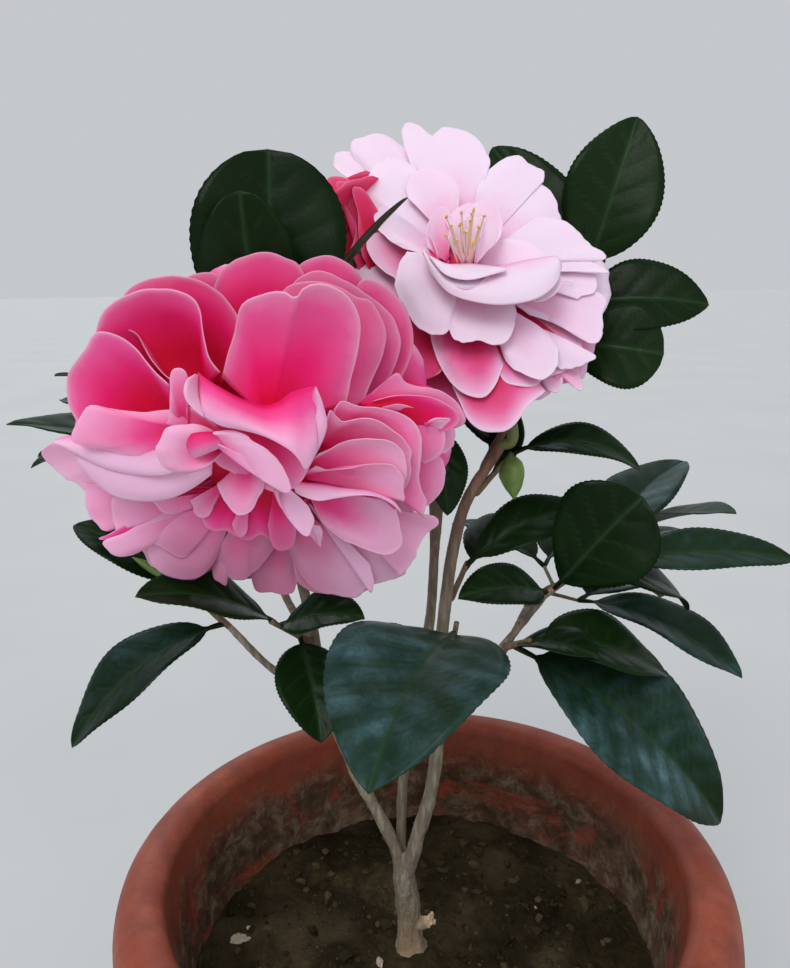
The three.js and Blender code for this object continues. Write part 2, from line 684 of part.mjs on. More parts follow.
for (const row of MASSES) {
  const carrier = limbs.get(row.on);
  const to = vector(row.to);
  const tip = tipOf(carrier.curve);
  const atTip = row.at === undefined;
  const start = atTip
    ? tipStart(tip, to, row.radius)
    : sideStart(carrier.row, carrier.curve, row.at, to, row.radius);
  const along = atTip ? tip.along : to.clone().sub(start).normalize();
  const made = mass(row, start, along, taken);
  place(row.name, made.solid, materials.leaf).userData.skipped = made.skipped;
}

export default plant;
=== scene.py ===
"""Looks of the potted camellia: glossy leaves, layered blooms, barked stems, crumbly soil and a rolled-rim clay pot."""

import math

import bmesh
import bpy
import numpy as np
from mathutils import Matrix, Vector


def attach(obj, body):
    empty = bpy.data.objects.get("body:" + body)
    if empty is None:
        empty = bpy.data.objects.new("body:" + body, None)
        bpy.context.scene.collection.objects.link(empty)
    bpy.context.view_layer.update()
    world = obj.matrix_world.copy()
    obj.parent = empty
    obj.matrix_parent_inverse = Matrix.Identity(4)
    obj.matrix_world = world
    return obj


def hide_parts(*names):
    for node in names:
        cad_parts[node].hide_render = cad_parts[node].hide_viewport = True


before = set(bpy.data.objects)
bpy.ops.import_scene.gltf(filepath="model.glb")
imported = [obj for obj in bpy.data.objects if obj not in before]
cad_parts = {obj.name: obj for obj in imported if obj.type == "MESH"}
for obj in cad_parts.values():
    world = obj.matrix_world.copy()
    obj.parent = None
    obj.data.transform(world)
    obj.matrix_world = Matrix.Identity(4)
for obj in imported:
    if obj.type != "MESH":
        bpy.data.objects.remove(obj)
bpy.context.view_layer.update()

MM = 0.001
UP = np.array([0.0, 0.0, 1.0])

# The camera, in millimetres and degrees: fitted to the rim of the pot.
EYE = np.array([-11.5, -344.4, 483.0])
PITCH_DOWN = 13.59
ROLL = -0.70
FOCAL_PX = 850.0
VIEW_SIZE = (790, 968)

FLOOR_RADIUS_M = 30
FLOOR_SIDES = 64

# Sizes shared with the solids, in millimetres.
GAP = 0.3
POT_HEIGHT = 225
POT_FOOT_RADIUS = 92
POT_FLOOR = 15
RIM_RADIUS = 140
RIM_CREST_RADIUS = 126
RIM_OUTER_DROP = 18
RIM_INNER_DROP = 8
MOUTH_RADIUS = 117
COLLAR_DEPTH = 29
NECK_RADIUS = 129
INNER_FOOT_RADIUS = 84
SOIL_TOP = 165
LEAF_STALK_SHARE = 0.1
LEAF_FOLD = math.radians(14)
LEAF_POINTED = (0.85, 0.7)
LEAF_BLUNT = (1.5, 0.5)
PETAL_FOOT = 0.14
PETAL_ROOT_RADIUS = 5.5
PETAL_ROUNDING = 0.42
PETAL_NOTCH_WIDTH = 0.34
HEART_BACK = 11
PETAL_WIDEST = 0.72
STEM_LEAD = 0.35
STEM_STRAIGHTNESS = 0.6
STEM_TIP_RADIUS = 1.1
TWIG_ZONE = (0.3, 0.9)
TWIG_LENGTH = (16, 26)
TWIG_TURN = 137.5
TWIG_FORWARD = 0.75
TWIG_LIFT = 0.2
PAIR_SPREAD = 38
PAIR_LENGTH = (66, 88)
PAIR_BREADTH = (0.42, 0.52)
PAIR_BOW = 0.1
FRONT_CENTRE, FRONT_AXIS = (-59, -52, 423), (0.03, -0.98, -0.17)

# The scene's own sizes, in millimetres, and how finely its meshes are made.
POT_SIDES = 256
POT_STEP = 3
POT_INSIDE_ROWS = 74  # rows of the wall inside the rim, down to the floor
SOIL_ROWS, SOIL_SIDES = 84, 260
CLODS = 1700
CLOD_REACH = 104
# place in the picture, size and flatness
STONES = [(240, 942, 5.0, 0.18), (633, 858, 2.0, 0.7), (380, 962, 2.8, 0.6), (250, 930, 2.2, 0.3)]
MORE_STONES = 4
STONE_REACH = 97
TRUNK_RADIUS, TRUNK_FLARE = (5.9, 5.2), 3
FORK_RADIUS = 5.45
CHIP_RADIUS = (3.6, 2.4)
BARK_VOXEL = 0.5
# heights at which a change of the bark starts and ends
OLD_BARK, YOUNG_BARK, BARE_FOOT = (330, 200), (330, 415), (204, 168)
LEAF_ROWS, LEAF_COLUMNS = 58, 19
BUD_ROWS, BUD_SIDES = 26, 24
PETAL_SKIN = 0.34
PETAL_COLUMNS = 43
FAN_ROWS, BAND_ROWS, SKIRT_ROWS = 15, 12, 5
RING_ROWS, RING_COLUMNS = 18, 19
CLAW_FROM = 3  # a petal whose root is higher than this over the bloom's middle gets a claw
CLAW_RADIUS = (1.0, 0.4)
# how many, height, length and opening
SEPAL_RINGS = [(5, -15, 13, 62), (5, -13, 17, 80), (6, -11, 19, 98)]
STALK_RADIUS = (2.2, 3.2)
STAMENS = 13
STAMEN_FOOT = (466, 262, 12)
STAMEN_SPREAD = 0.26
STAMEN_LENGTH = 22
STAMEN_RADIUS = (0.42, 0.26)
GOLDEN_TURN = 2.399963

TRUNK = [[-6.5, 7.5, 164], [-8, 5, 190], [-9.5, 1, 212]]
CHIP = [[-7, 6, 179], [0, 4, 181], [4.5, 3, 184]]
STEMS = {
    "stem_left": ([[-9.5, 1, 209], [-15, 0, 230], [-31.5, 0, 267], [-43, 0, 303], [-49, -3, 345], [-55, -14, 384]],
                  (3.1, 2.2)),
    "stem_middle": ([[-9.5, 2, 209], [-10.5, 7, 232], [-8, 9, 268], [3, 17, 325], [6, 26, 380], [0, 33, 428]],
                    (2.5, 2.1)),
    "stem_right": ([[-9.5, 1, 209], [-4.5, -1.5, 228], [5, -2, 268], [8, 0, 330], [16, 0, 385], [33, 2, 416]],
                   (3.7, 2.2)),
}
# name: stem, share of its path, tip, bend, radius at both ends
BOUGHS = {
    "bough_left": ("stem_left", 0.62, [-84, -2, 338], [0, 0, -5], (2, 1.5)),
    "bough_rear_left": ("stem_left", 0.7, [-84, 52, 378], [0, 4, -6], (2, 1.5)),
    "bough_right": ("stem_right", 0.52, [52, 0, 349], [0, 0, -4], (2.1, 1.6)),
    "bough_rear_right": ("stem_right", 0.5, [54, 56, 322], [4, 0, -5], (2, 1.5)),
    "bough_rear": ("stem_middle", 0.56, [14, 74, 396], [0, 3, -6], (1.9, 1.5)),
}
# name: limb, share of its path (None is its tip), tip, radius, seed, side twigs, leaves, buds
# leaf: share of the stem, heading, rise, length, width, bow, facing, and a 1 at the end where it is blunt
# bud: share of the stem, heading, rise, length, width
MASSES = {
    "leaves_crown_left": ("stem_left", 0.9, [-62, -8, 436], 1.7, 11, 0, [
        [0.97, 84, 86, 98, 60, 0.03, [0.1, -1, 0], 1],
        [0.75, -116, 83, 100, 38, 0.02, [0.2, -1, 0], 1],
        [0.99, -28, 50, 98, 24, 0.05, [-0.8, 0, 0.45]],
        [0.4, -168, 22, 112, 38, 0.08, [0, 0, 1]],
        [0.6, 150, 40, 84, 38, 0.1, [0, 0, 1]],
    ], []),
    "leaves_crown_right": ("stem_right", 0.93, [76, 50, 483], 1.7, 5, 0, [
        [1, 20, 71, 72, 44, 0.05, [-0.2, -1, 0.1]],
        [0.87, -13, -2, 58, 36, 0.08, [0.1, -0.9, 0.5]],
        [0.68, -18, -4, 48, 40, 0.06, [0.2, -0.9, 0.4], 1],
        [0.95, 152, 54, 76, 38, 0.05, [0, -1, 0.3]],
        [0.8, 70, 38, 76, 36, 0.1, [0, 0, 1]],
    ], []),
    "leaves_middle_right": ("stem_right", 0.86, [39, 12, 410], 1.5, 8, 0, [
        [1, -5, -9, 55, 21, 0.2, [0, -0.5, 0.9]],
        [0.55, 60, 44, 34, 15, 0.05, [0, -1, 0.5]],
        [0.8, 112, 24, 66, 30, 0.1, [0, 0, 1]],
    ], [[0.95, -80, -72, 19, 12]]),
    "leaves_heart": ("stem_middle", 0.84, [6, 6, 424], 1.4, 3, 0, [
        [1, -78, -58, 40, 20, 0.05, [0.3, -0.9, 0]],
        [0.7, 160, 24, 66, 32, 0.1, [0, 0, 1]],
    ], []),
    "leaves_middle": ("stem_right", 0.66, [20, 10, 362], 1.4, 9, 0, [
        [0.9, 16, 20, 62, 26, 0.14, [0, -0.5, 0.9]],
        [0.8, 52, 4, 70, 32, 0.1, [0, 0, 1]],
    ], []),
    "leaves_right": ("bough_right", None, [82, 8, 360], 1.5, 21, 0, [
        [0.95, -2, 1, 82, 26, 0.08, [0, -0.4, 0.9]],
        [0.15, -20, 50, 56, 47, 0.06, [-0.2, -0.9, 0.4], 1],
        [0.05, -152, 8, 46, 26, 0.1, [0, -0.5, 0.9]],
        [0.6, 24, -24, 70, 28, 0.14, [0, -0.4, 0.9]],
        [0.8, 70, 12, 72, 34, 0.1, [0, 0, 1]],
    ], [[0.45, -50, 10, 17, 3.4]]),
    "leaves_lower_right": ("bough_right", 0.6, [44, -16, 336], 1.6, 30, 0, [
        [0.3, -17, -39, 114, 60, 0.1, [0.3, -0.5, 0.8]],
        [0.9, 8, -18, 66, 42, 0.1, [0.4, -0.2, 0.9]],
        [0.3, -40, 8, 40, 26, 0.1, [0.2, -0.2, 1]],
    ], []),
    "leaves_front": ("stem_right", 0.5, [13, -20, 346], 1.7, 40, 0, [
        [0.9, -110, -9, 96, 66, 0.14, [0, -0.3, 1]],
        [0.6, -160, 12, 56, 32, 0.1, [0, -0.3, 1]],
    ], []),
    "leaves_lower_left": ("bough_left", None, [-106, -8, 362], 1.5, 52, 0, [
        [0.05, -155, -31, 78, 34, 0.14, [-0.3, -0.4, 0.9]],
        [0.8, 165, 27, 56, 28, 0.1, [0, -0.3, 1]],
        [0.5, 110, 14, 70, 34, 0.1, [0, 0, 1]],
    ], [[1, -168, 37, 18, 5]]),
    "leaves_under": ("stem_left", 0.74, [-62, -26, 350], 1.6, 61, 0, [
        [0.9, -146, 24, 60, 34, 0.1, [0, -0.3, 1]],
        [0.3, -74, -36, 48, 30, 0.08, [0.2, -0.6, 0.8]],
        [0.8, -26, 14, 40, 26, 0.1, [0, -0.4, 0.9]],
    ], []),
    "leaves_rear_left": ("bough_rear_left", None, [-116, 74, 412], 1.6, 91637, 3, [
        [1, 168, 20, 74, 34, 0.1, [0, 0, 1]],
        [0.8, -160, -4, 78, 36, 0.1, [0, 0, 1]],
    ], []),
    "leaves_rear_right": ("bough_rear_right", None, [86, 86, 326], 1.6, 175078, 3, [
        [1, 30, 10, 80, 38, 0.1, [0, 0, 1]],
    ], []),
    "leaves_rear": ("bough_rear", None, [22, 110, 440], 1.6, 117853, 4, [
        [1, 80, 50, 82, 38, 0.1, [0, 0, 1]],
    ], []),
}


def vec(*numbers):
    return np.array(numbers if len(numbers) > 1 else numbers[0], float)


def unit(v):
    return v / np.linalg.norm(v, axis=-1, keepdims=True)


def square_to(v, n):
    return unit(v - n * np.dot(v, n))


def lerp(a, b, t):
    return a + (b - a) * t


def smooth(x, low, high):
    t = np.clip((x - low) / (high - low), 0, 1)
    return t * t * (3 - 2 * t)


def direction(heading, rise):
    h, r = math.radians(heading), math.radians(rise)
    return vec(math.cos(r) * math.cos(h), math.cos(r) * math.sin(h), math.sin(r))


def seeded(seed):
    """The repeatable numbers from 0 to 1 that the solids use too."""
    state = [seed]

    def following():
        state[0] = (state[0] * 16807) % 2147483647
        return state[0] / 2147483647
    return following


def lattice(i, j, k, seed):
    h = (i * 73856093) ^ (j * 19349663) ^ (k * 83492791) ^ (seed * 2654435761 & 0x7FFFFFFF)
    h = (h ^ (h >> 13)) * 1274126177 & 0x7FFFFFFF
    return ((h ^ (h >> 16)) & 0xFFFF) / 32767.5 - 1


def noise(p, size, seed=0):
    """Smooth noise from -1 to 1 at points p, with bumps about that size across."""
    q = np.asarray(p, float) / size
    cell = np.floor(q).astype(np.int64)
    f = q - cell
    f = f * f * (3 - 2 * f)
    total = 0
    for corner in range(8):
        step = np.array([corner & 1, corner >> 1 & 1, corner >> 2 & 1])
        weight = np.prod(np.where(step, f, 1 - f), axis=-1)
        at = cell + step
        total = total + weight * lattice(at[..., 0], at[..., 1], at[..., 2], seed)
    return total


def curve(points):
    """A smooth curve through points: a function from shares of its length to places."""
    p = np.array(points, float)
    p = np.vstack([2 * p[0] - p[1], p, 2 * p[-1] - p[-2]])
    spans = len(p) - 3

    def at(t):
        t = np.clip(np.asarray(t, float), 0, 1) * spans
        i = np.minimum(t.astype(int), spans - 1)
        f = (t - i)[..., None]
        a, b, c, d = p[i], p[i + 1], p[i + 2], p[i + 3]
        m, n = 0.5 * (c - a), 0.5 * (d - b)
        return b + f * m + f ** 2 * (3 * (c - b) - 2 * m - n) + f ** 3 * (2 * (b - c) + m + n)
    return at


def heading_of(at, t):
    return unit(at(min(1, t + 1e-4)) - at(max(0, t - 1e-4)))


def linked(name, data):
    made = bpy.data.objects.new(name, data)
    bpy.context.scene.collection.objects.link(made)
    return made


class Form:
    """Vertices, faces and named values of a mesh that is put together from many."""

    def __init__(self):
        self.points, self.faces, self.values, self.count = [], [], {}, 0

    def add(self, points, faces, **values):
        points = np.asarray(points, float).reshape(-1, 3)
        for name in set(self.values) | set(values):
            column = self.values.setdefault(name, [np.zeros(self.count)] if self.count else [])
            given = np.asarray(values.get(name, 0.0), float)
            column.append(np.broadcast_to(given.reshape(-1), (len(points),)))
        self.points.append(points)
        self.faces += [np.asarray(block) + self.count for block in faces]
        self.count += len(points)

    def turned(self, rows, first, last, flipped=False, **values):
        """Adds a closed form of round rows of points that start and end at a point."""
        n, sides = rows.shape[0] * rows.shape[1], rows.shape[1]
        j = np.arange(sides)
        k = (j + 1) % sides
        faces = [quads(rows.shape[0], sides, True), np.stack([k, j, np.full(sides, n)], 1),
                 np.stack([n - sides + j, n - sides + k, np.full(sides, n + 1)], 1)]
        values = {key: np.append(value, [value[0].mean(), value[-1].mean()]) if np.ndim(value) else value
                  for key, value in values.items()}
        self.add(np.vstack([rows.reshape(-1, 3), first, last]), [f[:, ::-1] if flipped else f for f in faces], **values)

    def piece(self, name, material=None, smooth_shaded=True):
        mesh = bpy.data.meshes.new(name)
        points = np.vstack(self.points) * MM
        mesh.vertices.add(len(points))
        mesh.vertices.foreach_set("co", points.astype(np.float32).ravel())
        sizes = np.concatenate([np.full(len(b), b.shape[1]) for b in self.faces])
        mesh.loops.add(int(sizes.sum()))
        mesh.loops.foreach_set("vertex_index", np.concatenate([b.ravel() for b in self.faces]).astype(np.int32))
        mesh.polygons.add(len(sizes))
        mesh.polygons.foreach_set("loop_start", np.concatenate([[0], np.cumsum(sizes)[:-1]]).astype(np.int32))
        mesh.polygons.foreach_set("use_smooth", np.full(len(sizes), smooth_shaded))
        for key, columns in self.values.items():
            layer = mesh.attributes.new(key, "FLOAT", "POINT")
            layer.data.foreach_set("value", np.concatenate(columns).astype(np.float32))
        mesh.update(calc_edges=True)
        mesh.validate()
        if material:
            mesh.materials.append(material)
        return linked(name, mesh)


def quads(rows, columns, around=False):
    """Faces of a grid of rows by columns of vertices; around closes each row on itself."""
    i, j = np.meshgrid(np.arange(rows - 1), np.arange(columns if around else columns - 1), indexing="ij")
    i, j = i.ravel(), j.ravel()
    k = (j + 1) % columns
    return np.stack([i * columns + j, i * columns + k, (i + 1) * columns + k, (i + 1) * columns + j], 1)


def sheet(form, grid, thickness, **values):
    """A closed thin skin on both sides of a grid of points."""
    rows, columns = grid.shape[:2]
    down = np.gradient(grid, axis=0)
    across = np.gradient(grid, axis=1)
    normal = np.cross(across, down)
    normal /= np.maximum(np.linalg.norm(normal, axis=-1, keepdims=True), 1e-9)
    half = np.broadcast_to(np.asarray(thickness, float), (rows, columns))[..., None] / 2
    faces = quads(rows, columns)
    n = rows * columns
    rim = np.concatenate([
        np.arange(columns), np.arange(1, rows) * columns + columns - 1,
        (rows - 1) * columns + np.arange(columns - 2, -1, -1), np.arange(rows - 2, 0, -1) * columns])
    after = np.roll(rim, -1)
    edge = np.stack([rim + n, after + n, after, rim], 1)
    twice = {k: np.tile(np.broadcast_to(np.asarray(v, float), (rows, columns)).ravel(), 2) for k, v in values.items()}
    form.add(np.concatenate([(grid + normal * half).reshape(-1, 3), (grid - normal * half).reshape(-1, 3)]),
             [faces, faces[:, ::-1] + n, edge], under=np.repeat([0.0, 1.0], n), **twice)


def tube(form, at, radius, sides=8, rings=12, share=(0, 1), flare=0, bark=0.0, seed=0, **values):
    """A round limb along a curve; its ends are closed."""
    t = np.linspace(share[0], share[1], rings)
    middle = at(t)
    ahead = unit(np.gradient(middle, axis=0))
    across = np.zeros_like(middle)
    side = square_to(vec(0, 1, 0) if abs(ahead[0][1]) < 0.8 else vec(1, 0, 0), ahead[0])
    for i in range(rings):
        side = square_to(side, ahead[i])
        across[i] = side
    third = np.cross(ahead, across)
    girth = lerp(radius[0], radius[1], t) + flare * np.exp(-9 * (t - share[0]) / max(1e-6, share[1] - share[0]))
    angle = np.arange(sides) * 2 * math.pi / sides
    circle = across[:, None] * np.cos(angle)[None, :, None] + third[:, None] * np.sin(angle)[None, :, None]
    points = middle[:, None] + circle * girth[:, None, None]
    if bark:
        points += circle * (bark * noise(points, 3.0, seed))[..., None]
    form.turned(points, middle[:1], middle[-1:], **values)


def keep(piece, slot, *nodes):
    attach(piece, "root")
    if nodes:
        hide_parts(*nodes)
    return piece


def spot(px, py):
    """The direction from the camera through a place in the picture."""
    roll, pitch = math.radians(ROLL), math.radians(PITCH_DOWN)
    du, dv = px - VIEW_SIZE[0] / 2, py - VIEW_SIZE[1] / 2
    u, v = du * math.cos(roll) + dv * math.sin(roll), -du * math.sin(roll) + dv * math.cos(roll)
    x, z = u / FOCAL_PX, -v / FOCAL_PX
    return vec(x, math.cos(pitch) + z * math.sin(pitch), -math.sin(pitch) + z * math.cos(pitch))


def on_plane(px, py, origin, normal):
    """Where the line of sight through a place in the picture meets a plane."""
    ray = spot(px, py)
    return EYE + ray * np.dot(origin - EYE, normal) / np.dot(ray, normal)


def add_camera():
    data = bpy.data.cameras.new("view")
    data.sensor_fit = "VERTICAL"
    data.sensor_height = 24
    data.lens = FOCAL_PX / VIEW_SIZE[1] * data.sensor_height
    data.clip_start = 0.01
    camera = linked("view", data)
    camera.location = EYE * MM
    camera.rotation_mode = "XYZ"
    turn = Matrix.Rotation(math.radians(90 - PITCH_DOWN), 4, "X") @ Matrix.Rotation(math.radians(ROLL), 4, "Z")
    camera.rotation_euler = turn.to_euler()
    bpy.context.scene.camera = camera


def add_sun(name, heading, rise, softness, strength, colour):
    data = bpy.data.lights.new(name, "SUN")
    data.angle = math.radians(softness)
    data.energy = strength
    data.color = colour
    lamp = linked(name, data)
    lamp.rotation_euler = Vector(direction(heading, rise)).to_track_quat("Z", "Y").to_euler()


def add_stage():
    mesh = bpy.data.meshes.new("floor")
    corners = [(math.cos(a) * FLOOR_RADIUS_M, math.sin(a) * FLOOR_RADIUS_M, 0)
               for a in np.arange(FLOOR_SIDES) * 2 * math.pi / FLOOR_SIDES]
    mesh.from_pydata(corners, [], [list(range(FLOOR_SIDES))])
    mesh.materials.append(floor_material())
    linked("floor", mesh)
    world = bpy.data.worlds.new("studio")
    bpy.context.scene.world = world
    world.use_nodes = True
    background = world.node_tree.nodes["Background"]
    background.inputs["Color"].default_value = (0.93, 0.96, 1.0, 1)
    background.inputs["Strength"].default_value = 0.60
    add_sun("sky", 112, 46, 50, 0.8, (0.84, 0.93, 1.0))
    add_sun("key", -112, 48, 35, 1.4, (1.0, 0.985, 0.97))
    add_sun("fill", -75, 16, 60, 0.4, (1.0, 0.97, 0.95))
    bpy.context.scene.view_settings.view_transform = "Standard"


class Paint:
    """A node material, written line by line."""

    def __init__(self, name):
        self.material = bpy.data.materials.new(name)
        self.material.use_nodes = True
        self.tree = self.material.node_tree
        self.shader = self.tree.nodes["Principled BSDF"]
        self.place = self.node("ShaderNodeTexCoord").outputs["Object"]

    def node(self, kind, **settings):
        made = self.tree.nodes.new(kind)
        for key, value in settings.items():
            setattr(made, key, value)
        return made

    def put(self, socket, value):
        if isinstance(value, bpy.types.NodeSocket):
            self.tree.links.new(value, socket)
        else:
            socket.default_value = value

    def noise(self, scale, detail=3, stretch=(1, 1, 1), rough=0.55, distortion=0.0):
        moved = self.node("ShaderNodeMapping")
        self.put(moved.inputs["Vector"], self.place)
        moved.inputs["Scale"].default_value = stretch
        made = self.node("ShaderNodeTexNoise")
        self.put(made.inputs["Vector"], moved.outputs["Vector"])
        made.inputs["Scale"].default_value = scale
        made.inputs["Detail"].default_value = detail
        made.inputs["Roughness"].default_value = rough
        made.inputs["Distortion"].default_value = distortion
        return made.outputs["Fac"]

    def spots(self, scale):
        made = self.node("ShaderNodeTexVoronoi")
        self.put(made.inputs["Vector"], self.place)
        made.inputs["Scale"].default_value = scale
        return made.outputs["Distance"]

    def value(self, name):
        return self.node("ShaderNodeAttribute", attribute_name=name).outputs["Fac"]

    def math(self, operation, a, b=0.0):
        made = self.node("ShaderNodeMath", operation=operation)
        self.put(made.inputs[0], a)
        self.put(made.inputs[1], b)
        return made.outputs[0]

    def times(self, a, b):
        return self.math("MULTIPLY", a, b)

    def range(self, value, low, high, to_low=0.0, to_high=1.0):
        made = self.node("ShaderNodeMapRange", interpolation_type="SMOOTHSTEP")
        self.put(made.inputs["Value"], value)
        for key, number in (("From Min", low), ("From Max", high), ("To Min", to_low), ("To Max", to_high)):
            made.inputs[key].default_value = number
        return made.outputs["Result"]

    def ramp(self, value, *stops):
        made = self.node("ShaderNodeValToRGB")
        self.put(made.inputs[0], value)
        steps = made.color_ramp.elements
        while len(steps) < len(stops):
            steps.new(0.5)
        for step, (at, colour) in zip(steps, stops):
            step.position = at
            step.color = (*colour, 1)
        return made.outputs["Color"]

    def mix(self, share, a, b, blend="MIX"):
        made = self.node("ShaderNodeMix", data_type="RGBA", blend_type=blend)
        self.put(made.inputs[0], share)
        self.put(made.inputs[6], a if isinstance(a, bpy.types.NodeSocket) else (*a, 1))
        self.put(made.inputs[7], b if isinstance(b, bpy.types.NodeSocket) else (*b, 1))
        return made.outputs[2]

    def bump(self, height, strength, distance, below=None):
        made = self.node("ShaderNodeBump")
        made.inputs["Strength"].default_value = strength
        made.inputs["Distance"].default_value = distance
        self.put(made.inputs["Height"], height)
        if below is not None:
            self.put(made.inputs["Normal"], below)
        return made.outputs["Normal"]

    def finish(self, colour, roughness, normal=None, **sockets):
        self.put(self.shader.inputs["Base Color"], colour)
        self.put(self.shader.inputs["Roughness"], roughness)
        if normal is not None:
            self.put(self.shader.inputs["Normal"], normal)
        for name, number in sockets.items():
            self.shader.inputs[name.replace("_", " ")].default_value = number
        return self.material


def floor_material():
    p = Paint("pale_floor")
    tone = p.ramp(p.noise(3, 4), (0.3, (0.49, 0.50, 0.50)), (0.7, (0.52, 0.53, 0.53)))
    return p.finish(tone, 0.75)


def clay_material():
    p = Paint("fired_clay")
    broad, fine = p.noise(9, 5), p.noise(60, 5, rough=0.65)
    base = p.ramp(broad, (0.25, (0.215, 0.036, 0.018)), (0.5, (0.285, 0.052, 0.027)), (0.75, (0.350, 0.072, 0.037)))
    base = p.mix(p.range(fine, 0.35, 0.8), base, (0.19, 0.052, 0.034))
    pores = p.range(p.spots(420), 0.0, 0.16, 1.0, 0.0)
    base = p.mix(p.times(pores, 0.35), base, (0.16, 0.045, 0.03))
    mud = p.times(p.value("mud"), p.range(p.noise(20, 6, (1, 1, 1.5), 0.68, 0.7), 0.30, 0.52))
    crust = p.noise(95, 6, (1, 1, 1.2), 0.72, 0.5)
    dirt = p.ramp(crust, (0.34, (0.040, 0.017, 0.009)), (0.50, (0.085, 0.050, 0.028)), (0.66, (0.200, 0.145, 0.095)))
    base = p.mix(mud, base, dirt)
    salt = p.times(p.value("salt"), p.range(p.noise(34, 6, (1, 1, 0.6), 0.7), 0.5, 0.72))
    base = p.mix(p.times(salt, 0.6), base, (0.34, 0.21, 0.15))
    worn = p.times(p.value("wear"), p.range(p.noise(48, 5, rough=0.7), 0.45, 0.7))
    base = p.mix(p.times(worn, 0.5), base, (0.40, 0.105, 0.058))
    rough = p.range(p.math("ADD", fine, mud), 0.3, 1.3, 0.44, 0.9)
    normal = p.bump(fine, 0.25, 0.0008)
    normal = p.bump(p.times(mud, crust), 0.7, 0.0022, normal)
    normal = p.bump(p.noise(260, 3), 0.3, 0.0003, normal)
    return p.finish(base, rough, normal, Specular_IOR_Level=0.22)


def soil_material():
    p = Paint("moist_soil")
    grain = p.noise(150, 6, rough=0.7)
    colour = p.ramp(p.noise(22, 5), (0.3, (0.012, 0.0085, 0.003)), (0.52, (0.030, 0.022, 0.009)),
                    (0.72, (0.078, 0.058, 0.028)))
    colour = p.mix(p.range(grain, 0.35, 0.7), p.mix(0.5, colour, (0.007, 0.005, 0.003)), colour)
    colour = p.mix(p.times(p.value("tone"), 0.7), colour, (0.110, 0.084, 0.048))
    normal = p.bump(grain, 0.8, 0.0012)
    normal = p.bump(p.noise(700, 2), 0.5, 0.0004, normal)
    return p.finish(colour, p.range(grain, 0.3, 0.7, 0.97, 0.8), normal, Specular_IOR_Level=0.08)


def stone_material():
    p = Paint("pale_grit")
    colour = p.ramp(p.noise(90, 4), (0.3, (0.22, 0.17, 0.12)), (0.7, (0.50, 0.42, 0.32)))
    return p.finish(colour, p.range(p.noise(200, 3), 0.3, 0.7, 0.6, 0.9), p.bump(p.noise(300, 3), 0.4, 0.0005))


def bark_material():
    p = Paint("bark")
    streak = p.noise(420, 4, (1, 1, 0.16), 0.65)
    patch = p.noise(45, 4, (1, 1, 0.4))
    grey = p.ramp(patch, (0.25, (0.19, 0.155, 0.11)), (0.5, (0.30, 0.26, 0.19)), (0.75, (0.43, 0.39, 0.31)))
    ruddy = p.ramp(patch, (0.3, (0.15, 0.065, 0.042)), (0.7, (0.28, 0.145, 0.095)))
    colour = p.mix(p.value("young"), grey, ruddy)
    colour = p.mix(p.range(streak, 0.42, 0.62, 0.55, 0.0), colour, (0.085, 0.058, 0.042))
    colour = p.mix(p.value("green"), colour, (0.12, 0.15, 0.05))
    wood = p.ramp(p.noise(160, 4, (1, 1, 0.3)), (0.3, (0.36, 0.23, 0.13)), (0.7, (0.60, 0.45, 0.30)))
    colour = p.mix(p.value("cut"), colour, wood)
    normal = p.bump(streak, 0.5, 0.0006)
    return p.finish(colour, p.range(streak, 0.3, 0.7, 0.85, 0.6), normal)


def leaf_material():
    p = Paint("camellia_leaf")
    patch = p.noise(38, 3)
    top = p.ramp(patch, (0.3, (0.0016, 0.0080, 0.0014)), (0.7, (0.0040, 0.0160, 0.0026)))
    top = p.mix(p.range(p.value("tone"), -1, 1, 0, 0.5), top, (0.0080, 0.0260, 0.0045))
    top = p.mix(p.times(p.value("vein"), 0.35), top, (0.035, 0.085, 0.030))
    # painted sky reflection: a mottled bluish sheen mixed into the top colour where the sky value is high
    painted_sheen_mask = p.times(p.range(p.noise(150, 6, rough=0.72, distortion=0.4), 0.34, 0.70, 0.55, 1.0),
                    p.range(p.noise(24, 2), 0.36, 0.60, 0.40, 1.1))
    painted_sheen_colour = p.ramp(p.noise(95, 5, rough=0.7, distortion=0.5), (0.40, (0.036, 0.092, 0.098)),
                   (0.72, (0.115, 0.215, 0.245)))
    top = p.mix(p.times(p.value("sky"), painted_sheen_mask), top, painted_sheen_colour)
    below = p.ramp(patch, (0.3, (0.016, 0.030, 0.007)), (0.7, (0.030, 0.046, 0.013)))
    below = p.mix(p.times(p.value("vein"), 0.5), below, (0.10, 0.12, 0.045))
    colour = p.mix(p.value("under"), top, below)
    cells = p.noise(900, 3)
    rough = p.math("ADD", p.range(p.value("under"), 0, 1, 0.27, 0.46), p.range(cells, 0.3, 0.7, 0.0, 0.10))
    normal = p.bump(cells, 0.22, 0.00025)
    normal = p.bump(p.noise(110, 3), 0.28, 0.0008, normal)
    return p.finish(colour, rough, normal, Specular_IOR_Level=0.09)


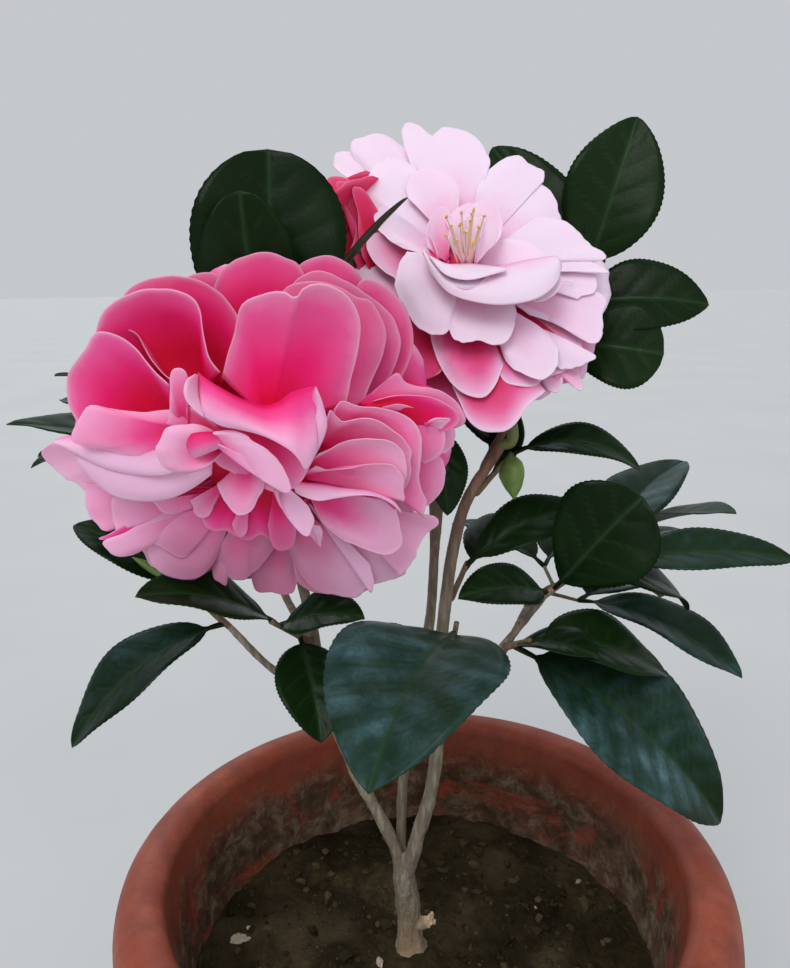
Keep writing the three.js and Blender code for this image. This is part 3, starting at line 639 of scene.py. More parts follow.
def petal_material(name, deep, full, light, edge):
    """Deep at the root, full in the middle, light toward the rim, with a painted highlight along the edge."""
    p = Paint(name)
    streaks = p.noise(70, 4, rough=0.6)
    reach = p.math("ADD", p.value("reach"), p.range(streaks, 0.3, 0.7, -0.05, 0.05))
    faded = tuple(0.6 * a + 0.4 * b for a, b in zip(light, edge))
    strong = p.ramp(reach, (0.10, deep), (0.40, full), (0.82, light), (1.0, faded))
    soft = p.ramp(reach, (0.06, full), (0.38, light), (0.80, edge))
    colour = p.mix(p.value("pale"), strong, soft)
    # painted highlight: the edge colour mixed in along the petal's rolled rim
    colour = p.mix(p.times(p.value("rim"), 0.6), colour, edge)
    colour = p.mix(p.times(p.value("under"), 0.3), colour, light)
    # painted shade: the colour darkened where the shade value is high, under the front bloom's overhang and behind its
    # standing petals
    colour = p.mix(p.value("shade"), colour, (0.70, 0.50, 0.56), "MULTIPLY")
    fine = p.noise(330, 3, (1, 1, 0.5))
    normal = p.bump(fine, 0.10, 0.0003)
    return p.finish(colour, p.range(fine, 0.3, 0.7, 0.52, 0.64), normal,
                    Subsurface_Weight=0.22, Subsurface_Scale=0.003, Specular_IOR_Level=0.18)


def plain_paint(name, low, high, scale, roughness):
    p = Paint(name)
    tone = p.noise(scale, 4)
    return p.finish(p.ramp(tone, (0.3, low), (0.7, high)), p.range(tone, 0.3, 0.7, roughness, roughness + 0.12),
                    p.bump(p.noise(scale * 5, 3), 0.2, 0.0003))


def arc(cx, cz, rx, rz, first, last, count):
    a = np.radians(np.linspace(first, last, count))
    return [(cx + rx * math.cos(t), cz + rz * math.sin(t)) for t in a]


def along(points, step):
    """The same open outline with extra points, no further apart than step."""
    out = [points[0]]
    for a, b in zip(points, points[1:]):
        n = max(1, int(math.ceil(math.dist(a, b) / step)))
        out += [(lerp(a[0], b[0], k / n), lerp(a[1], b[1], k / n)) for k in range(1, n + 1)]
    return out


def wall_radius(height):
    share = (height - POT_FLOOR) / (POT_HEIGHT - RIM_INNER_DROP - POT_FLOOR)
    return lerp(INNER_FOOT_RADIUS, MOUTH_RADIUS, share)


def build_pot():
    collar = POT_HEIGHT - COLLAR_DEPTH
    outline = along([(POT_FOOT_RADIUS - 3, 0), (POT_FOOT_RADIUS - 1, 0.6), (POT_FOOT_RADIUS, 3),
                     (NECK_RADIUS - 0.4, collar - 2), (NECK_RADIUS + 1.4, collar)], POT_STEP)
    outline += arc(RIM_CREST_RADIUS, POT_HEIGHT - RIM_OUTER_DROP, RIM_RADIUS - RIM_CREST_RADIUS, RIM_OUTER_DROP,
                   -35, 90, 26)
    outline += arc(RIM_CREST_RADIUS, POT_HEIGHT - RIM_INNER_DROP, RIM_CREST_RADIUS - MOUTH_RADIUS, RIM_INNER_DROP,
                   90, 180, 12)[1:]
    outline += along([(MOUTH_RADIUS, POT_HEIGHT - RIM_INNER_DROP), (INNER_FOOT_RADIUS, POT_FLOOR)], POT_STEP)[1:]
    outline = np.array(outline)
    turn = np.arange(POT_SIDES) * 2 * math.pi / POT_SIDES
    r, z = outline[:, :1], np.broadcast_to(outline[:, 1:], (len(outline), POT_SIDES))
    ring = np.stack([np.cos(turn), np.sin(turn)], -1)
    points = np.concatenate([r[..., None] * ring[None], z[..., None]], -1)
    radial = np.concatenate([np.broadcast_to(ring, (len(outline), POT_SIDES, 2)), np.zeros_like(z)[..., None]], -1)
    thrown = 0.10 * np.sin(z / 2.3 + 0.6 * noise(points, 60, 5))
    lumps = 0.30 * noise(points, 34, 1) + 0.12 * noise(points, 9, 2) + 0.05 * noise(points, 2.6, 3)
    points = points + radial * (smooth(z, 1, 12) * (thrown * 0.6 + lumps - 0.3))[..., None]
    inside = np.arange(len(outline))[:, None] >= len(outline) - POT_INSIDE_ROWS
    mud = np.where(inside, smooth(z, 214, 190) * 0.95 + 0.12, 0.0) + 0.15 * smooth(z, 40, 6)
    salt = np.where(inside, 0.25, smooth(z, 95, 15) * 0.9 + 0.18)
    form = Form()
    form.turned(points, vec(0, 0, 0), vec(0, 0, POT_FLOOR), mud=mud, salt=salt, wear=smooth(z, 205, 222))
    keep(form.piece("pot_body", clay_material()), "clay", "pot")


def ball(level=1):
    """Places and faces of an even round ball of radius 1."""
    shape = bmesh.new()
    bmesh.ops.create_icosphere(shape, subdivisions=level, radius=1)
    points = np.array([v.co[:] for v in shape.verts])
    faces = np.array([[v.index for v in f.verts] for f in shape.faces])
    shape.free()
    return points, faces


def soil_height(x, y):
    p = np.stack([x, y, np.zeros_like(x)], -1)
    away = np.hypot(x, y)
    wave = np.sin(x / 9) * np.cos(-y / 7.5) + 0.6 * np.sin((x + 2 * y) / 13)
    crumb = 1.9 * noise(p, 12, 3) + 1.2 * noise(p, 5.5, 4) + 0.9 * np.abs(noise(p, 3.1, 5)) + 0.45 * noise(p, 1.5, 6)
    return SOIL_TOP + 2.4 * wave * smooth(away, 24, 36) * smooth(away, 108, 96) + crumb + 1.2 * smooth(away, 92, 107)


def build_soil():
    bottom = POT_FLOOR + GAP
    away = np.linspace(0.02, 1, SOIL_ROWS)[:, None] ** 0.75 * (wall_radius(SOIL_TOP) - 0.5)
    away = np.vstack([away, [[wall_radius(bottom) - 0.5]]])
    turn = (np.arange(SOIL_SIDES) * 2 * math.pi / SOIL_SIDES)[None]
    x, y = away * np.cos(turn), away * np.sin(turn)
    z = soil_height(x, y)
    z[-1] = bottom
    rows = np.stack([x, y, z], -1)
    form = Form()
    form.turned(rows, vec(0, 0, z[0].mean()), vec(0, 0, bottom), flipped=True,
                tone=np.clip(0.5 * noise(rows, 20, 9), 0, 1))
    random = np.random.default_rng(7)
    shape, faces = ball(1)
    for i in range(CLODS):
        size = 0.5 + 3.4 * random.random() ** 5
        r, a = CLOD_REACH * math.sqrt(random.random()), random.random() * 2 * math.pi
        cx, cy = r * math.cos(a), r * math.sin(a)
        if math.hypot(cx - TRUNK[0][0], cy - TRUNK[0][1]) < 9 + size or r + size > CLOD_REACH + 2:
            continue
        lumps = 0.62 * noise(shape * 5 + i * 7.3, 3.2, i % 50) + 0.25 * noise(shape * 5, 1.6, i % 37)
        clod = shape * (1 + lumps)[:, None] * random.uniform(0.55, 1.1, 3) * size
        lift = float(soil_height(vec([cx]), vec([cy]))[0]) - 0.05 * size
        form.add(clod + vec(cx, cy, lift), [faces], tone=random.random() ** 2.2)
    keep(form.piece("soil_fill", soil_material(), False), "soil", "soil")
    build_stones(random)


def build_stones(random):
    """A few pale stones at places in the picture, and some more of random ones."""
    grit = Form()
    places = [(on_plane(px, py, vec(0, 0, SOIL_TOP + 1), UP), size, flat) for px, py, size, flat in STONES]
    for i in range(MORE_STONES):
        r, a = 96 * math.sqrt(random.random()), random.uniform(0, math.pi)
        places.append((vec(r * math.cos(a), r * math.sin(a), 0), random.uniform(0.7, 1.3), random.uniform(0.5, 0.9)))
    for i, (at, size, flat) in enumerate(places):
        at = at * min(1, STONE_REACH / math.hypot(at[0], at[1]))
        lump = BALL * (1 + 0.5 * noise(BALL * 3 + i * 9, 1.8, i))[:, None] * vec(1, 0.6, flat) * size
        a = random.uniform(0, math.pi)
        lump = lump @ np.array([[math.cos(a), math.sin(a), 0], [-math.sin(a), math.cos(a), 0], [0, 0, 1]])
        lift = float(soil_height(at[:1], at[1:2])[0]) + 0.35 * size * flat
        grit.add(lump + vec(at[0], at[1], lift), [BALL_FACES])
    keep(grit.piece("soil_grit", stone_material(), False), "soil")


LIMBS = {name: (curve(path), radius) for name, (path, radius) in STEMS.items()}


def build_limbs():
    form = Form()
    fork = curve(TRUNK)
    tube(form, fork, TRUNK_RADIUS, 28, 40, share=(0, 0.8), flare=TRUNK_FLARE)
    tube(form, curve(CHIP), CHIP_RADIUS, 18, 14)
    for at, radius in list(LIMBS.values()):
        tube(form, at, radius, 20, 150)
        tube(form, curve([fork(0.5), fork(0.97), at(0.05), at(0.12)]), (FORK_RADIUS, radius[0] + 0.1), 20, 30)
    for name, (stem, share, tip, bend, radius) in BOUGHS.items():
        leave = lerp(LIMBS[stem][0](share), vec(tip), 0.5) + vec(bend)
        start = side_start(LIMBS[stem], share, leave, radius[0])
        LIMBS[name] = (curve([start, lerp(start, vec(tip), 0.5) + vec(bend), tip]), radius)
        tube(form, LIMBS[name][0], radius, 16, 50)
        tube(form, curve([LIMBS[stem][0](share), start, LIMBS[name][0](0.2)]), (radius[0] + 0.5, radius[0]), 16, 16)
    points, normals, faces = fused(form)
    height = points[:, 2]
    old = smooth(height, *OLD_BARK)
    long_way = points * vec(1, 1, 0.2)
    relief = 0.16 * noise(long_way, 1.0, 11) + 0.22 * noise(long_way, 2.4, 12) + 0.10 * noise(points, 0.9, 13)
    relief = relief * (0.55 + 0.9 * old) + 0.5 * old * noise(points, 8, 14)
    cut = smooth(np.linalg.norm(points - vec(CHIP[-1]), axis=1), 5.2, 3.4)
    relief += cut * (1.3 * noise(points, 1.9, 15) + 0.8 * noise(points, 0.9, 16))
    bare = smooth(height, *BARE_FOOT) * (0.45 + 0.35 * noise(long_way, 4, 17))
    final = Form()
    final.add(points + normals * relief[:, None], [faces], cut=np.clip(cut + bare, 0, 1),
              young=smooth(height, *YOUNG_BARK), green=0)
    keep(final.piece("stems_and_boughs", BARK), "bark", "trunk", *STEMS, *BOUGHS)


def fused(form):
    """The places, normals and faces of the one skin round all limbs of a form."""
    rough = form.piece("rough_limbs")
    fuse = rough.modifiers.new("fuse", "REMESH")
    fuse.mode = "VOXEL"
    fuse.voxel_size = BARK_VOXEL * MM
    soften = rough.modifiers.new("soften", "SMOOTH")
    soften.factor = 0.5
    soften.iterations = 4
    solid = rough.evaluated_get(bpy.context.evaluated_depsgraph_get()).to_mesh()
    count = len(solid.vertices)
    points, normals = np.zeros(count * 3), np.zeros(count * 3)
    solid.vertices.foreach_get("co", points)
    solid.vertex_normals.foreach_get("vector", normals)
    faces = np.array([p.vertices[:] for p in solid.polygons])
    rough.to_mesh_clear()
    bpy.data.objects.remove(rough)
    return points.reshape(-1, 3) / MM, normals.reshape(-1, 3), faces


def leaf_half(s, width, blunt):
    t = np.clip((s - LEAF_STALK_SHARE) / (1 - LEAF_STALK_SHARE), 0, 1)
    shift, roundness = LEAF_BLUNT if blunt else LEAF_POINTED
    return width / 2 * np.sin(math.pi * t ** shift) ** roundness


def build_leaf(form, base, aim, length, width, bow, face, blunt, seed):
    """A folded, bowed leaf with a channelled midrib, sunk veins and a toothed edge."""
    random = np.random.default_rng(seed)
    normal = square_to(vec(face), aim)
    side = np.cross(aim, normal)
    s = np.linspace(0, 1, LEAF_ROWS)[:, None]
    u = np.linspace(-1, 1, LEAF_COLUMNS)[None]
    x = np.sign(u) * np.abs(u) ** 1.35
    half = np.maximum(leaf_half(s, width, blunt), 0.9 * smooth(s, 1.0, 0.9) + 0.05)
    blade = smooth(s, 0.08, 0.2)
    veins = max(5, round(length / 12))
    lean = s * veins * 1.05 - np.abs(x) * 1.25
    quilt = np.cos(2 * math.pi * lean)
    depth = blade * smooth(s, 1.0, 0.86)
    wave = random.uniform(0.5, 1.1) * width / 40
    phase = random.uniform(0, 2 * math.pi)
    rise = np.sqrt(x ** 2 + 0.004) * half * math.sin(LEAF_FOLD) + bow * length * 4 * s * (1 - s)
    furrow = np.clip(quilt, -0.3, 1) ** 2 * np.sign(quilt) * (1 - np.abs(x) ** 4) * (np.abs(x) > 0.02)
    rise = rise - depth * 0.30 * furrow
    rise = rise + depth * wave * x ** 2 * np.sin(2 * math.pi * (s * 1.9 + 0.25 * np.sign(x)) + phase)
    rise = rise - depth * 0.055 * half * np.abs(x) ** 5
    mid = np.exp(-(x * half) ** 2)
    rise = rise - blade * 0.45 * mid
    tooth = np.where(np.abs(u) > 0.999, 0.42 * (np.arange(LEAF_ROWS) % 2)[:, None] * depth, 0)
    twist = math.radians(random.uniform(-7, 7)) * smooth(s, 0.2, 1)
    flat = x * (half + tooth) * math.cos(LEAF_FOLD)
    sway = random.uniform(-0.03, 0.03) * length * s * s * 4 * (1 - 0.75 * s)
    grid = (base + s[..., None] * length * aim
            + (flat * np.cos(twist) - rise * np.sin(twist) * 0.6 + sway)[..., None] * side
            + (rise + flat * np.sin(twist))[..., None] * normal)
    vein = np.maximum(mid * blade, 0.5 * depth * smooth(quilt, 0.90, 1.0) * (1 - np.abs(x) ** 3))
    thick = 0.42 + 1.5 * smooth(s, 0.14, 0.02)
    # painted sky sheen: how strongly a bluish reflection is painted on the tops of leaves that face up, more on one
    # half
    upward = unit(np.cross(np.gradient(grid, axis=1), np.gradient(grid, axis=0)))[..., 2]
    sky = 0.95 * smooth(upward * np.sign(upward.mean()), 0.30, 0.75) * smooth(s, 0.05, 0.45)
    sky = sky * smooth(base[2], 375, 345) * smooth(length, 70, 95)  # only large leaves low on the plant
    sky = sky * (1 - 0.6 * mid) * (0.5 + 0.5 * smooth(quilt, 0.7, -0.5)) * (1 - 0.45 * smooth(x, 0.1, -0.1))
    sheet(form, grid, thick, vein=vein, tone=random.uniform(-1, 1), sky=sky)


def build_bud(form, base, aim, length, width):
    """A pointed egg of overlapping scales."""
    s = np.linspace(0, 1, BUD_ROWS)[:, None]
    a = (np.arange(BUD_SIDES) * 2 * math.pi / BUD_SIDES)[None]
    side = square_to(UP if abs(aim[2]) < 0.8 else vec(1, 0, 0), aim)
    third = np.cross(aim, side)
    fat = np.sin(math.pi * np.clip(s, 0.02, 0.985) ** 0.8) ** 0.75 * (1 - 0.25 * s)
    ridge = 1 + 0.05 * np.cos(3 * a + 6 * s) * smooth(s, 0.05, 0.5)
    lip = 1 + 0.05 * ((s * 3.4 + 0.25 * np.cos(2 * a)) % 1)
    r = (width / 2 * fat * ridge * lip)[..., None]
    grid = base + (s * length)[..., None] * aim + r * (np.cos(a)[..., None] * side + np.sin(a)[..., None] * third)
    form.turned(grid, base, base + aim * length)


def side_start(limb, share, toward, own):
    """Where a thing of a radius starts beside a limb, clear of it."""
    at, radius = limb
    middle, tangent = at(share), heading_of(at, share)
    aim = unit(toward - middle)
    girth = lerp(radius[0], radius[1], share)
    return middle + square_to(aim, tangent) * (girth + GAP + own * abs(np.dot(aim, tangent)))


def tip_start(at, toward, own):
    """Where a thing of a radius starts past a limb's tip, clear of it."""
    end, tangent = at(1.0), heading_of(at, 1.0)
    turn = math.acos(np.clip(np.dot(tangent, unit(toward - end)), -1, 1))
    return end + tangent * (GAP + own * math.sin(turn))


def build_masses():
    """Each mass's stem with its leaves and buds, and the side twigs with their pairs of leaves by the seeded rule."""
    twigs, buds = Form(), Form()
    count = 0
    for name, (limb, share, tip, radius, seed, side_twigs, leaves, bud_rows) in MASSES.items():
        at = LIMBS[limb][0]
        tip = vec(tip)
        if share is None:
            start, along_way = tip_start(at, tip, radius), heading_of(at, 1.0)
            root = at(0.995)
        else:
            start = side_start(LIMBS[limb], share, tip, radius)
            along_way = unit(tip - start)
            root = at(share)
        bend = start + along_way * STEM_LEAD * np.linalg.norm(tip - start)
        stem = curve([start, lerp(bend, lerp(start, tip, 0.5), STEM_STRAIGHTNESS), tip])
        tube(twigs, curve([root, start, stem(0.25)]), (radius, radius * 0.95), 10, 10, young=0.8)
        tube(twigs, stem, (radius, STEM_TIP_RADIUS), 10, 24, bark=0.12, seed=seed % 97, young=0.9, green=0.25)
        foliage = Form()
        for at_share, heading, rise, length, width in bud_rows:
            build_bud(buds, stem(at_share), direction(heading, rise), length, width)
        for at_share, heading, rise, length, width, bow, face, *blunt in leaves:
            count += 1
            build_leaf(foliage, stem(at_share), direction(heading, rise), length, width, bow, face, bool(blunt), count)
        random = seeded(seed)
        first_turn = 360 * random()
        for i in range(side_twigs):
            share_of = lerp(*TWIG_ZONE, (i + 0.5) / side_twigs)
            foot, tangent = stem(share_of), heading_of(stem, share_of)
            around = square_to(UP if abs(tangent[2]) < 0.8 else vec(1, 0, 0), tangent)
            turn = math.radians(first_turn + TWIG_TURN * i)
            aim = around * math.cos(turn) + np.cross(tangent, around) * math.sin(turn)
            aim = unit(aim + tangent * TWIG_FORWARD + UP * TWIG_LIFT)
            end = foot + aim * lerp(*TWIG_LENGTH, random())
            tube(twigs, curve([foot, end]), (1.1, 0.9), 8, 8, bark=0.1, young=0.9, green=0.4)
            sideways = np.cross(square_to(UP, aim), aim)
            for hand in (-PAIR_SPREAD, PAIR_SPREAD):
                reach = aim * math.cos(math.radians(hand)) + sideways * math.sin(math.radians(hand))
                length = lerp(*PAIR_LENGTH, random())
                width = length * lerp(*PAIR_BREADTH, random())
                count += 1
                build_leaf(foliage, end, reach, length, width, PAIR_BOW, UP, False, count)
        keep(foliage.piece(name + "_blades", LEAF), "leaf", name)
    keep(twigs.piece("twigs", BARK), "bark")
    keep(buds.piece("flower_buds", plain_paint("bud_scales", (0.10, 0.19, 0.035), (0.20, 0.30, 0.075), 120, 0.38)),
         "leaf")


class Bloom:
    """A bloom's middle, the way it faces and the limb that carries it."""

    def __init__(self, centre, axis, limb):
        self.centre, self.axis = vec(centre), unit(vec(axis))
        self.above = square_to(UP, self.axis)
        self.right = np.cross(self.above, self.axis)
        self.limb = limb

    def place(self, px, py, lift):
        """A place in the picture, that far in front of the bloom's middle along its axis."""
        return on_plane(px, py, self.centre + self.axis * lift, self.axis)

    def behind(self, seen, lift):
        """The place at that height which is hidden behind a seen one."""
        ray = seen - EYE
        return EYE + ray * np.dot(self.centre + self.axis * lift - EYE, self.axis) / np.dot(ray, self.axis)


def petal_half(s, width):
    """Half the width at a share of a petal's length."""
    return width / 2 * (PETAL_FOOT + (1 - PETAL_FOOT) * np.sin(math.pi / 2 * np.minimum(1, s / PETAL_WIDEST)))


def petal_grid(notch, phase):
    """Shares along and across a petal of a ring, with round corners, a scalloped rim and a notch."""
    turn = np.linspace(-math.pi / 2, math.pi / 2, RING_COLUMNS)[None]
    y, x = np.linspace(0, 1, RING_ROWS)[:, None], np.sin(turn)
    scallop = 0.012 * np.sin(5.2 * x + phase) + 0.008 * np.sin(11.7 * x + 2.3 * phase)
    round_off = PETAL_ROUNDING * (1 - np.cos(turn)) + notch * np.exp(-(x / PETAL_NOTCH_WIDTH) ** 2) + scallop
    return y * (1 - y * round_off), x + 0 * y


def dimmed(grid):
    """How much painted shade a place gets: under the overhang of the front bloom, or behind its standing petals."""
    high, depth = grid[..., 2], (grid - vec(FRONT_CENTRE)) @ unit(vec(FRONT_AXIS))
    under = smooth(high, 404, 386) * smooth(np.abs(grid[..., 0] + 66), 46, 18)
    behind = 0.65 * smooth(high, 436, 456) * smooth(depth, 9, 4) * smooth(depth, -24, -16)
    return np.maximum(under, behind)


def ring_petal(form, bloom, row, random, pale, curl=1.2, ruffle=1.4, depth=1.0):
    """A petal of a ring, by the rule of the solids, with its rim ruffled and rolled back."""
    turn, opening, bend, length, width, cup, notch, lift = row
    out = bloom.right * math.cos(math.radians(turn)) + bloom.above * math.sin(math.radians(turn))
    side = np.cross(out, bloom.axis)
    root = bloom.centre + out * PETAL_ROOT_RADIUS + bloom.axis * lift
    s, x = petal_grid(notch, random.uniform(0, 6.28))
    angle, chord = np.radians(opening + bend * (s - 0.5)), np.radians(opening + bend * (s / 2 - 0.5))
    half, cupped = petal_half(s, width), math.radians(cup)
    inward = half * (1 - np.cos(x * cupped)) / cupped
    normal = bloom.axis * np.sin(angle)[..., None] - out * np.cos(angle)[..., None]
    grid = (root + bloom.axis * (length * s * np.cos(chord))[..., None] + out * (length * s * np.sin(chord))[..., None]
            + normal * inward[..., None] + side * (half * np.sin(x * cupped) / cupped)[..., None])
    rim = np.maximum(np.abs(x) ** 3, smooth(s, 0.62, 1.0))
    phase = random.uniform(0, 6.28, 3)
    wave = np.sin(x * 2.6 + phase[0]) * s ** 2 + 0.5 * np.sin(x * 5.5 + 2.0 * s + phase[1]) * s ** 3
    buckle = 0.5 * s * noise(np.stack([x * 1.7, s * 3.0, 0 * s], -1) + phase * 3, 1.0, 21)
    grid = grid + normal * (ruffle * wave * width / 45 - curl * smooth(rim, 0.45, 1.0) + buckle)[..., None]
    # the rim value marks where a painted highlight lies along the rolled-back rim
    sheet(form, grid, PETAL_SKIN + 0.5 * smooth(s, 0.3, 0.0), reach=s ** depth, rim=smooth(rim, 0.88, 1.0), pale=pale,
          shade=dimmed(grid))


def even(points, count):
    """A smooth curve through points, at that many evenly spaced places."""
    fine = curve(points)(np.linspace(0, 1, 400))
    far = np.append(0, np.cumsum(np.linalg.norm(np.diff(fine, axis=0), axis=1)))
    at = np.linspace(0, far[-1], count)
    return np.stack([np.interp(at, far, fine[:, k]) for k in range(3)], 1)


def turned_away(bloom, grid):
    """Whether the skin that a grid would get faces the back of its bloom."""
    return (np.cross(np.gradient(grid, axis=1), np.gradient(grid, axis=0)) @ bloom.axis).mean() < 0


def rolled(form, bloom, grid, s, edge, random, look):
    """Gives a petal that is seen from the front its hollow, its ruffled, rolled rim and its skin."""
    belly, curl, pale, depth = look
    phase = random.uniform(0, 6.28, 3)
    x = np.linspace(-1, 1, PETAL_COLUMNS)[None]
    long = np.linalg.norm(grid[-1] - grid[0], axis=-1).max()
    hollow = belly * 4 * s * (1 - 0.85 * s) * (1 - 0.5 * x ** 2)
    wave = 0.012 * long * s ** 2 * (np.sin(x * 3.1 + phase[0]) + 0.6 * np.sin(x * 7.3 + 2 * s + phase[1]))
    buckle = 0.5 * s * noise(np.stack([x * 2.1 + 0 * s, s * 3.4 + 0 * x, 0 * s * x], -1) + phase * 3, 1.0, 21)
    back = curl * smooth(s, 0.72, 1.0) ** 2
    grid = grid + bloom.axis * (wave + buckle - hollow - back)[..., None]
    reach = np.clip(s, 0, 1) ** depth
    if depth < 0.6:
        reach = 0.35 + 0.65 * reach
    # the painted rim highlight is weaker where the rim rolls back less
    edge = edge * min(1, 0.2 + curl)
    if turned_away(bloom, grid):
        grid, edge = grid[:, ::-1], edge[:, ::-1]
    sheet(form, grid, PETAL_SKIN + 0.4 * smooth(reach, 0.3, 0.0), reach=reach, rim=edge, pale=pale, shade=dimmed(grid))


def frilled(line, out, pale, random):
    """The rim with small uneven scallops, more of them on pale petals."""
    far = np.append(0, np.cumsum(np.linalg.norm(np.diff(line, axis=0), axis=1)))
    p = np.stack([far, 0 * far, 0 * far], 1) + random.uniform(0, 90, 3)
    soft = min(max(pale, 0), 1)
    ends = np.minimum(smooth(far, 0, 3), smooth(far, far[-1], far[-1] - 3))
    scallop = (0.3 + 0.9 * soft) * noise(p, 4.4, 31) + 0.45 * soft * noise(p, 1.9, 32)
    return line + unit(out) * (scallop * ends)[:, None]


def fan_petal(form, bloom, row, random):
    """A petal that fans out from its root to a rim which is seen at places in the picture."""
    root, lifts, rim, look = row
    pale = look[2]
    share = np.linspace(0, 1, len(rim))
    lift = lifts[0] + (lifts[2] - lifts[0]) * share + (4 * lifts[1] - 2 * lifts[0] - 2 * lifts[2]) * share * (1 - share)
    line = even([bloom.place(px, py, h) for (px, py), h in zip(rim, lift)], PETAL_COLUMNS)
    foot = bloom.place(*root)
    if root[2] > CLAW_FROM:
        tube(form, curve([bloom.behind(foot, 0), foot]), CLAW_RADIUS, 8, 6, reach=0.3, pale=pale)
    line = frilled(line, line - foot, pale, random)
    s = 1 - 0.95 * (1 - np.linspace(0, 1, FAN_ROWS)[:, None]) ** 1.6
    grid = foot + s[..., None] * (line - foot)[None]
    to_rim = (1 - s) * np.linalg.norm(line - foot, axis=1)[None]
    rolled(form, bloom, grid, s, smooth(to_rim, 1.3, 0.2), random, look)


def band_petal(form, bloom, row, random):
    """A petal between an inner and an outer edge, both seen at places in the picture, on a skirt from its foot."""
    inner, outer, look = row
    first, last = (even([bloom.place(*point) for point in edge], PETAL_COLUMNS) for edge in (inner, outer))
    s = 1 - (1 - np.linspace(0, 1, BAND_ROWS)[:, None]) ** 1.3
    grid = first[None] + s[..., None] * (last - first)[None]
    to_rim = (1 - s) * np.linalg.norm(last - first, axis=1)[None]
    rolled(form, bloom, grid, s, smooth(to_rim, 1.1, 0.2), random, look)
    nearest = last[np.argmin(np.linalg.norm(last - bloom.centre, axis=1))]
    foot = bloom.behind(0.5 * (last.mean(axis=0) + nearest), 2)
    t = np.linspace(0.08, 1, SKIRT_ROWS)[:, None]
    skirt = foot + t[..., None] * (first - foot)[None]
    if turned_away(bloom, skirt):
        skirt = skirt[:, ::-1]
    sheet(form, skirt, PETAL_SKIN, reach=0.1 + 0.3 * t, rim=0, pale=look[2])


def ring(count, first, openings, bend, lengths, form, lifts):
    """The rows of a ring's petals. The lengths go round it; openings and lifts take turns."""
    rows = []
    for i in range(count):
        turn = first + 360 * i / count
        place = turn / 360 * len(lengths)
        low, high = lengths[int(place) % len(lengths)], lengths[math.ceil(place) % len(lengths)]
        rows.append([turn, openings[i % 2], bend, lerp(low, high, place % 1), *form, lifts[i % 2]])
    return rows


def build_stalk(form, bloom):
    """The stalk from a limb's tip into the back of a bloom."""
    at = LIMBS[bloom.limb][0]
    start, tangent = at(0.99), heading_of(at, 1.0)
    back = bloom.centre - bloom.axis * (HEART_BACK + 2)
    tube(form, curve([start, start + tangent * 10, back, back + bloom.axis * 5]), STALK_RADIUS, 14, 30, bark=0.15)


def build_hub(form, bloom, size, high):
    """The low dome that the roots of the petals stand on."""
    points = BALL * vec(size, size, high)
    places = bloom.centre + points @ np.stack([bloom.right, bloom.above, bloom.axis])
    form.add(places, [BALL_FACES], reach=0.12, pale=0.1)


def build_sepals(form, bloom, random):
    """The overlapping scales that hold a bloom from behind."""
    for k, (count, lift, size, opening) in enumerate(SEPAL_RINGS):
        for i in range(count):
            ring_petal(form, bloom, [360 * i / count + 31 * k, opening, 24, size, size * 0.95, 34, 0.0, lift],
                       random, 0, curl=0, ruffle=0.4)


def build_stamens(threads, tips, bloom, random):
    """Threads with pollen tips that stand in the upper bloom's middle."""
    centre = bloom.place(*STAMEN_FOOT)
    for i in range(STAMENS):
        turn, share = GOLDEN_TURN * i, math.sqrt((i + 0.5) / STAMENS)
        out = bloom.right * math.cos(turn) + bloom.above * math.sin(turn)
        foot = centre + out * 3.2 * share
        end = foot + unit(bloom.axis + out * STAMEN_SPREAD * share) * STAMEN_LENGTH * random.uniform(0.82, 1.08)
        middle = lerp(foot, end, 0.55) + bloom.axis * 1.2
        tube(threads, curve([foot, middle, end]), STAMEN_RADIUS, 6, 8)
        aim = unit(bloom.axis * 0.5 + vec(*random.uniform(-1, 1, 3)))
        side = square_to(UP + 0.01, aim)
        tips.add(end + 0.7 * BALL * vec(0.75, 0.75, 1.5) @ np.stack([side, np.cross(aim, side), aim]), [BALL_FACES])
